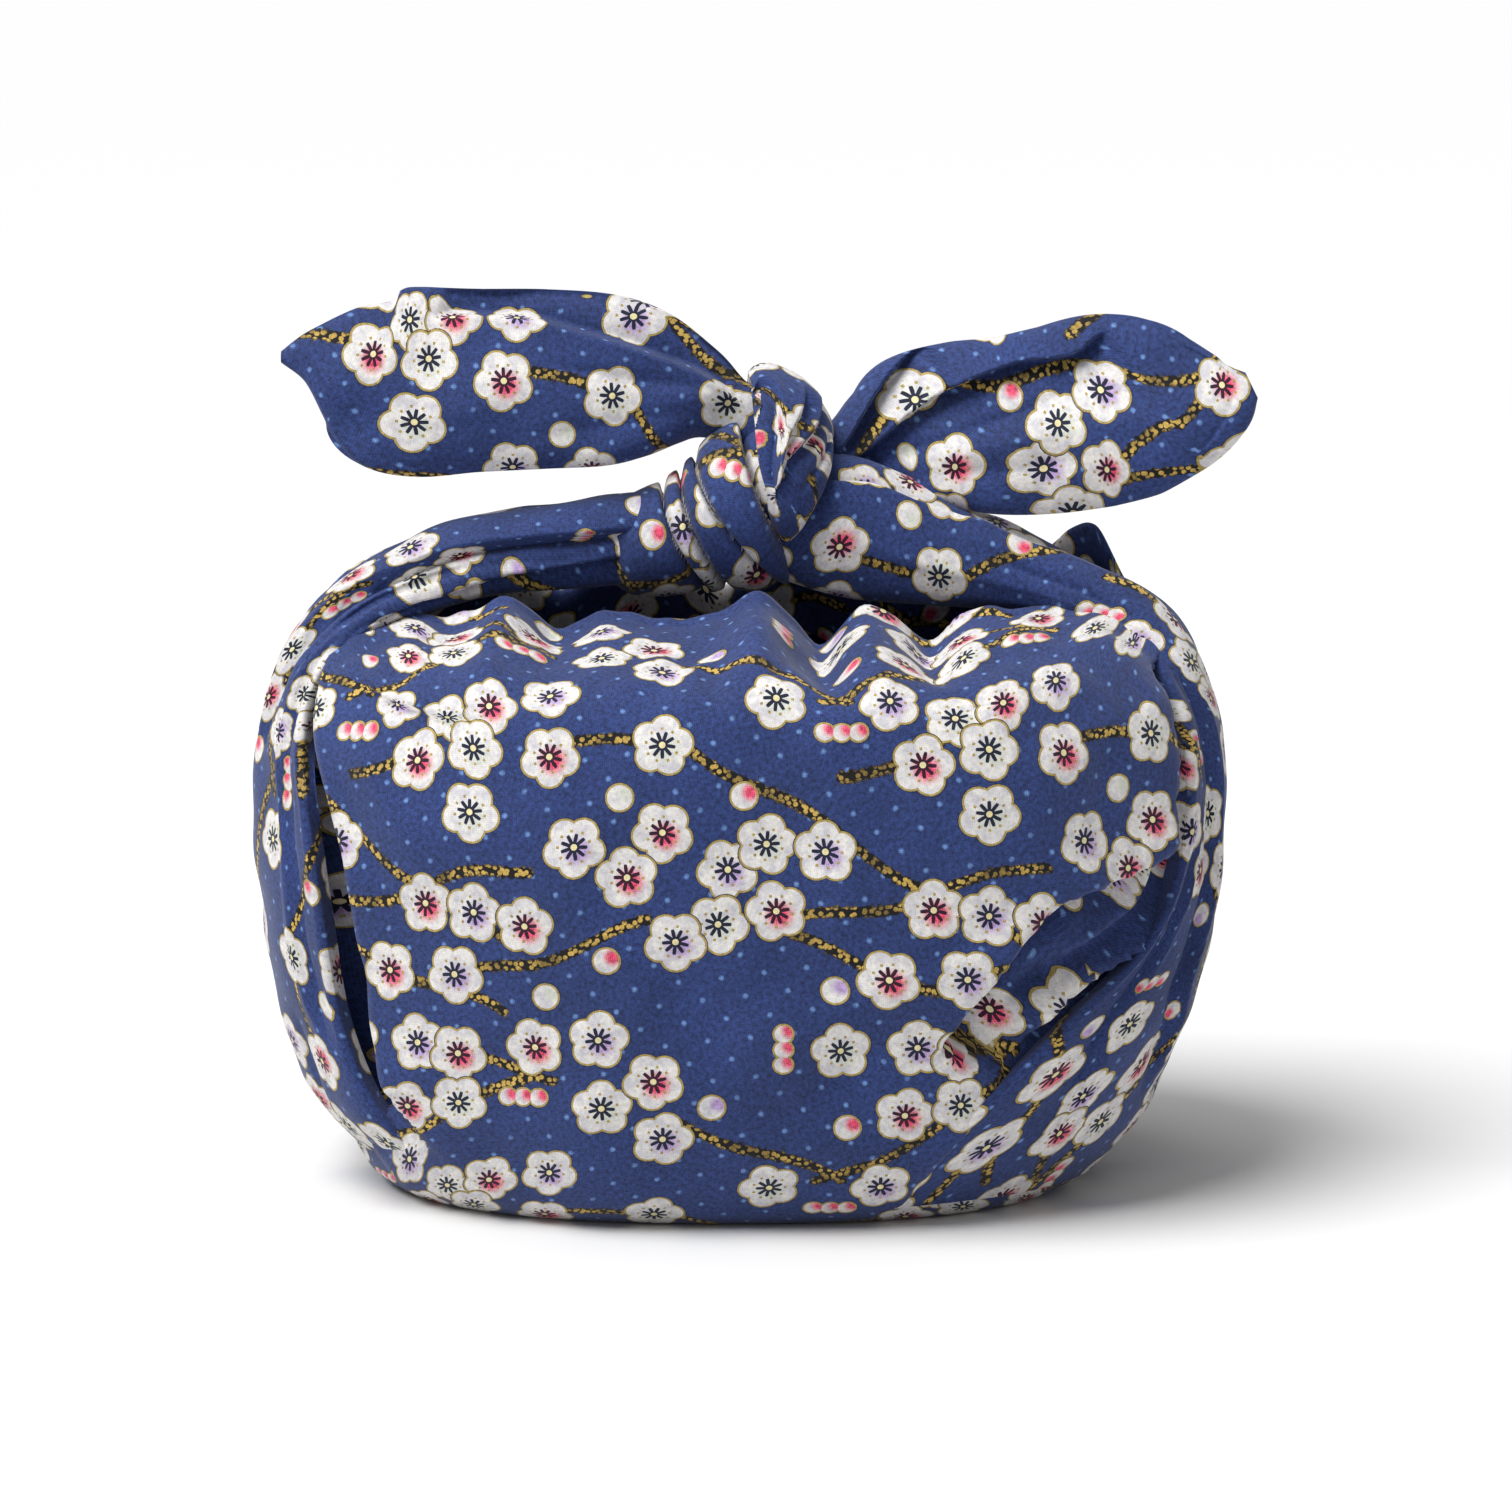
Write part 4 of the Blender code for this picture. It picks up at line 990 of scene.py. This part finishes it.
def makeTongue():
    form = tongueForm
    at, rows = evenRows(form, [0, 1, 2])
    centres = rows[:, :3]
    tangents = unit(np.gradient(centres, axis=0))
    away = unit(centres - np.array(form["centre"], float))
    out = unit(away - (away * tangents).sum(-1, keepdims=True) * tangents)
    side = np.cross(tangents, out)
    side *= np.sign(side[:, :1])
    side = unit(side + np.array([0.0, 0.0, form["lean"]]))
    v = np.linspace(-1, 1, form["acrossSteps"])
    phi = np.radians(form["halfAngle"]) * v
    rowSpan, halfSpan = form["spans"]
    place = np.stack(np.meshgrid(at * rowSpan, v * halfSpan, indexing="ij"), axis=-1)
    depth, slide = handFolds(place, onCloth(form, form["spans"]))
    depth += unevenness(place[..., 0], place[..., 1], *form["unevenness"])
    edge = form["edgeSteps"]
    turned = np.linspace(0, 1, edge + 1)[1:, None]
    grid = np.empty((len(at), len(v) + 2 * edge, 3))
    for i, row in enumerate(rows):
        halfBreadth, stand = row[3], row[4]
        arc = side[i] * (np.sin(phi) * halfBreadth)[:, None]
        arc = arc + out[i] * (np.cos(phi) * stand + depth[i] * min(1, halfBreadth / 9))[:, None]
        inward, drop = side[i] * (0.5 * halfBreadth * turned), out[i] * (form["edgeDrop"] * turned**0.5)
        left, right = arc[0] + inward - drop, arc[-1] - inward - drop
        grid[i] = row[:3] + np.concatenate([left[::-1], arc, right])
    slide = np.pad(slide, ((0, 0), (edge, edge), (0, 0)), mode="edge")
    return clothPiece("knotOver", grid, flatPlaces(grid, form, slide))


# ---- the two free corners

leftCorner = {
    "name": "leftEar",
    # x, y, z, half height, bulge to the front, half angle of the C
    "rows": (
        (7, 5, 163, 6.5, 6, 130), (-2, 4, 168, 7, 6.5, 128), (-9, 3, 171.5, 10.5, 7, 124),
        (-18, 2, 173.8, 15.3, 7, 120), (-28, 1, 175, 18, 7, 116), (-42, 0, 175.4, 18.9, 7, 114),
        (-57, 0, 175.1, 19.3, 6, 112), (-70, 0, 174.8, 20, 5.5, 112), (-78.5, 0, 175.8, 18.6, 5, 112),
        (-86, 0, 178.6, 12.8, 4, 112), (-93, 0, 180.2, 6.2, 3, 112), (-99.6, 0, 180.2, 1.2, 1.5, 112),
    ),
    "folds": (
        ("over", (1.9, 6, 4.8, 10, 0.5, 6, 0.12), (
            (2, 169), (-7.5, 176.4), (-16.4, 180.1), (-26.1, 183.6), (-37.4, 186.8), (-44.7, 188.6),
            (-58, 189.4), (-68, 188.6))),
        ("crease", (0.9, 2.6, 0.3), ((-4, 170), (-18, 168), (-36, 165), (-54, 163))),
        ("crease", (-0.7, 3.0, 0.3), ((-6, 166), (-20, 162), (-40, 159))),
        ("crease", (1.1, 1.6, 0.3), ((-4, 173.5), (-16, 175), (-30, 177), (-44, 180))),
        ("crease", (-0.8, 3.5, 0.3), ((-50, 172), (-66, 168), (-80, 168))),
        ("crease", (0.6, 3.0, 0.3), ((-60, 181), (-72, 178), (-86, 180))),
    ),
    "hem": ((-99, 179.6), (-92.1, 172.6), (-84.0, 163), (-76.6, 156), (-70, 154)),
    "leanBack": 0.32,  # how far the upper edge leans back, as a share of its height
    "turn": 12.0,
    "origin": (20.0, 128.0),
    "seed": 41,
}
rightCorner = {
    "name": "rightEar",
    "rows": (
        (12, 6, 154, 6.5, 6, 130), (22, 6.5, 158, 7, 6.5, 128), (29, 6, 161.5, 10.5, 7, 124),
        (36, 5, 164.3, 15, 7.5, 120), (46, 4, 165, 17.4, 8, 116), (57, 3, 164.8, 18.8, 8, 114),
        (68, 2, 166.2, 19.8, 6.5, 112), (79, 1, 168.5, 20.3, 6, 112), (90, 0, 169.4, 18.4, 5.5, 112),
        (99.5, 0, 170.2, 13.8, 4.5, 112), (106.5, 0, 171.8, 8.6, 3.5, 112),
        (111.2, 0, 174.0, 3.0, 2, 112),
    ),
    "folds": (
        ("over", (1.6, 5, 4.6, 8, 0.5, 3, 0.1), (
            (22, 155), (29, 160.5), (38, 168), (48, 174), (60, 178.5), (72.4, 180.5), (80, 186))),
        ("over", (1.6, 4, 4.6, 7, 0.5, 2, 0.15), ((21, 158), (25, 164), (30, 172), (36, 179), (42, 184))),
        ("crease", (1.3, 1.6, 0.2), ((27, 156), (38, 160), (52, 165), (70, 172), (84, 180))),
        ("crease", (0.9, 2.4, 0.3), ((30, 153), (46, 155), (64, 157), (82, 160))),
        ("crease", (-0.8, 3.0, 0.3), ((40, 157), (58, 162), (76, 166), (94, 168))),
        ("crease", (0.7, 3.0, 0.3), ((78, 176), (90, 170), (102, 168))),
    ),
    "hem": ((97.5, 185), (105, 181), (110.6, 176.7), (110.2, 171.7), (107.5, 165.5), (102.7, 159)),
    "leanBack": 0.32,
    "turn": -30.0,
    "origin": (64.0, 20.0),
    "seed": 42,
}
cornerCloth = {
    "pitch": 0.75,  # mm between rows
    "acrossSteps": 130,
    "unevenness": ((38, 16), (0.8, 0.35)),
    "hemBreadth": 3.0,
    "hemRise": 0.45,
    "seamDepth": 0.3,
    "seamHalf": 0.5,
}


def makeCorner(form):
    c = cornerCloth
    rows = evenRows(dict(form, pitch=c["pitch"]), [0, 2])[1]
    centres = rows[:, :3]
    tangents = unit(np.gradient(centres, axis=0) * np.array([1, 0, 1]))
    front = np.array([0.0, -1.0, 0.0])
    up = np.cross(tangents, front)
    up *= np.sign(up[:, 2:])
    v = np.linspace(-1, 1, c["acrossSteps"])
    grid = np.empty((len(rows), len(v), 3))
    facing = np.empty((len(rows), len(v)))
    for i, row in enumerate(rows):
        halfHeight, bulge, halfAngle = max(row[3], 0.5), row[4], math.radians(row[5])
        phi = halfAngle * v
        peak = math.sin(min(halfAngle, math.pi / 2))
        high = up[i] * (np.sin(phi) / peak * halfHeight)[:, None]
        grid[i] = row[:3] + high + front * (np.cos(phi) * bulge)[:, None]
        facing[i] = smooth(np.cos(phi) * 2.2 + 0.12)
    flat = grid[..., [0, 2]].copy()
    depth, slide = handFolds(flat, form["folds"])
    depth += unevenness(flat[..., 0], flat[..., 1], form["seed"], *c["unevenness"])
    distance, share, _ = beside(flat, curveThrough(form["hem"]))
    inHem = (share > 0.01) & (share < 0.99)
    away = np.abs(distance)
    hem = c["hemRise"] * smooth((c["hemBreadth"] - away) / 0.5)
    seam = c["seamDepth"] * np.exp(-(((away - c["hemBreadth"]) / c["seamHalf"]) ** 2))
    depth += np.where(inHem, hem - seam, 0)
    places = flatPlaces(grid, form, slide * facing[..., None], np.sign(centres[-1, 0] - centres[0, 0]))
    grid[..., 1] += form["leanBack"] * (grid[..., 2] - centres[:, None, 2])
    ends = smooth(np.minimum(rows[:, 3] / 8, 1))[:, None]
    grid[..., 1] -= depth * facing * ends
    return clothPiece(form["name"], grid, places)


def edgeLine(form, end):
    # the strip's front (0) or back (2) edge on the wall, from its foot up, carried on to the rim
    line = [(row[end], row[end + 1]) for row in form["gathers"]]
    last = line[-1]
    return curveThrough(line + [(last[0], 116), (last[0] * 0.98, 128)])


underStrips = (
    (edgeLine(leftStrip, 0), -1, 1, 6.5), (edgeLine(leftStrip, 2), 1, 1, 1.5),
    (edgeLine(rightStrip, 0), -1, -1, 1.5), (edgeLine(rightStrip, 2), 1, -1, 1.5),
)
pouchCloth = makePouch(underStrips)
print("pouch made")
leftBand, rightBand = makeStrip(leftStrip), makeStrip(rightStrip)
print("bands made")
knotWrap, knotOver = makeWrap(), makeTongue()
print("knot made")
leftEar, rightEar = makeCorner(leftCorner), makeCorner(rightCorner)
print("free corners made")

for piece, flat, held in (
    (pouchCloth, (0.46, 0.40), "gathered"),
    (leftBand, (0.26, 0.12), "gathered"),
    (rightBand, (0.28, 0.13), "gathered"),
    (knotWrap, (0.13, 0.08), "folded"),
    (knotOver, (0.09, 0.05), "folded"),
    (leftEar, (0.13, 0.09), "folded"),
    (rightEar, (0.13, 0.09), "folded"),
):
    print(piece.name, "measures", round(areaOf(piece), 5), "of", flat[0] * flat[1])

# ---- floor, light and camera

studio = {
    "target": (0.0035, 0.0, 0.0922),
    "distance": 1.5,
    "elevation": 10.0,  # degrees above the horizon
    "lens": 162.8,
    "floorTone": "#E2E2E2",
    "skyStrength": 0.34,
    # name, kind, place, the sun's angle in degrees or the box's side in metres, and power
    "lamps": (
        ("keyWindow", "SUN", (-0.7, -0.5, 1.4), 40, 3.7),
        ("topBox", "AREA", (-0.2, 0.2, 1.2), 0.7, 3),
    ),
}


def makeStudio():
    bpy.ops.mesh.primitive_grid_add(size=16, x_subdivisions=2, y_subdivisions=2, location=(0, 2, -0.0003))
    floor = bpy.context.object
    floor.name = "paleFloor"
    tone = bpy.data.materials.new("paleStudioPaper")  # matt paper sweep
    tone.use_nodes = True
    shader = tone.node_tree.nodes["Principled BSDF"]
    shader.inputs["Base Color"].default_value = linearColour(studio["floorTone"])
    shader.inputs["Roughness"].default_value = 0.9
    shader.inputs["Specular IOR Level"].default_value = 0.1
    floor.data.materials.append(tone)
    scene = bpy.context.scene
    world = bpy.data.worlds.new("softStudio")
    world.use_nodes = True
    background = world.node_tree.nodes["Background"]
    background.inputs["Color"].default_value = (1.0, 1.0, 1.0, 1)
    background.inputs["Strength"].default_value = studio["skyStrength"]
    scene.world = world
    for name, kind, spot, size, power in studio["lamps"]:
        lamp = bpy.data.lights.new(name, kind)
        lamp.energy = power
        if kind == "SUN":
            lamp.angle = math.radians(size)
        else:
            lamp.size = size
        light = bpy.data.objects.new(name, lamp)
        scene.collection.objects.link(light)
        light.location = spot
        toward = np.array([0, 0, 0.09]) - np.array(spot)
        tilt = math.acos(-toward[2] / np.linalg.norm(toward))
        light.rotation_euler = (tilt, 0, math.atan2(toward[1], toward[0]) - math.pi / 2)
    view = bpy.data.cameras.new("view")
    view.sensor_width, view.lens = 36, studio["lens"]
    view.clip_start, view.clip_end = 0.05, 60
    camera = bpy.data.objects.new("view", view)
    scene.collection.objects.link(camera)
    rise = math.radians(studio["elevation"])
    away = studio["distance"] * np.array([0, -math.cos(rise), math.sin(rise)])
    camera.location = np.array(studio["target"]) + away
    camera.rotation_euler = (math.pi / 2 - rise, 0, 0)
    scene.camera = camera
    scene.view_settings.view_transform = "Standard"


makeStudio()
print("studio ready")
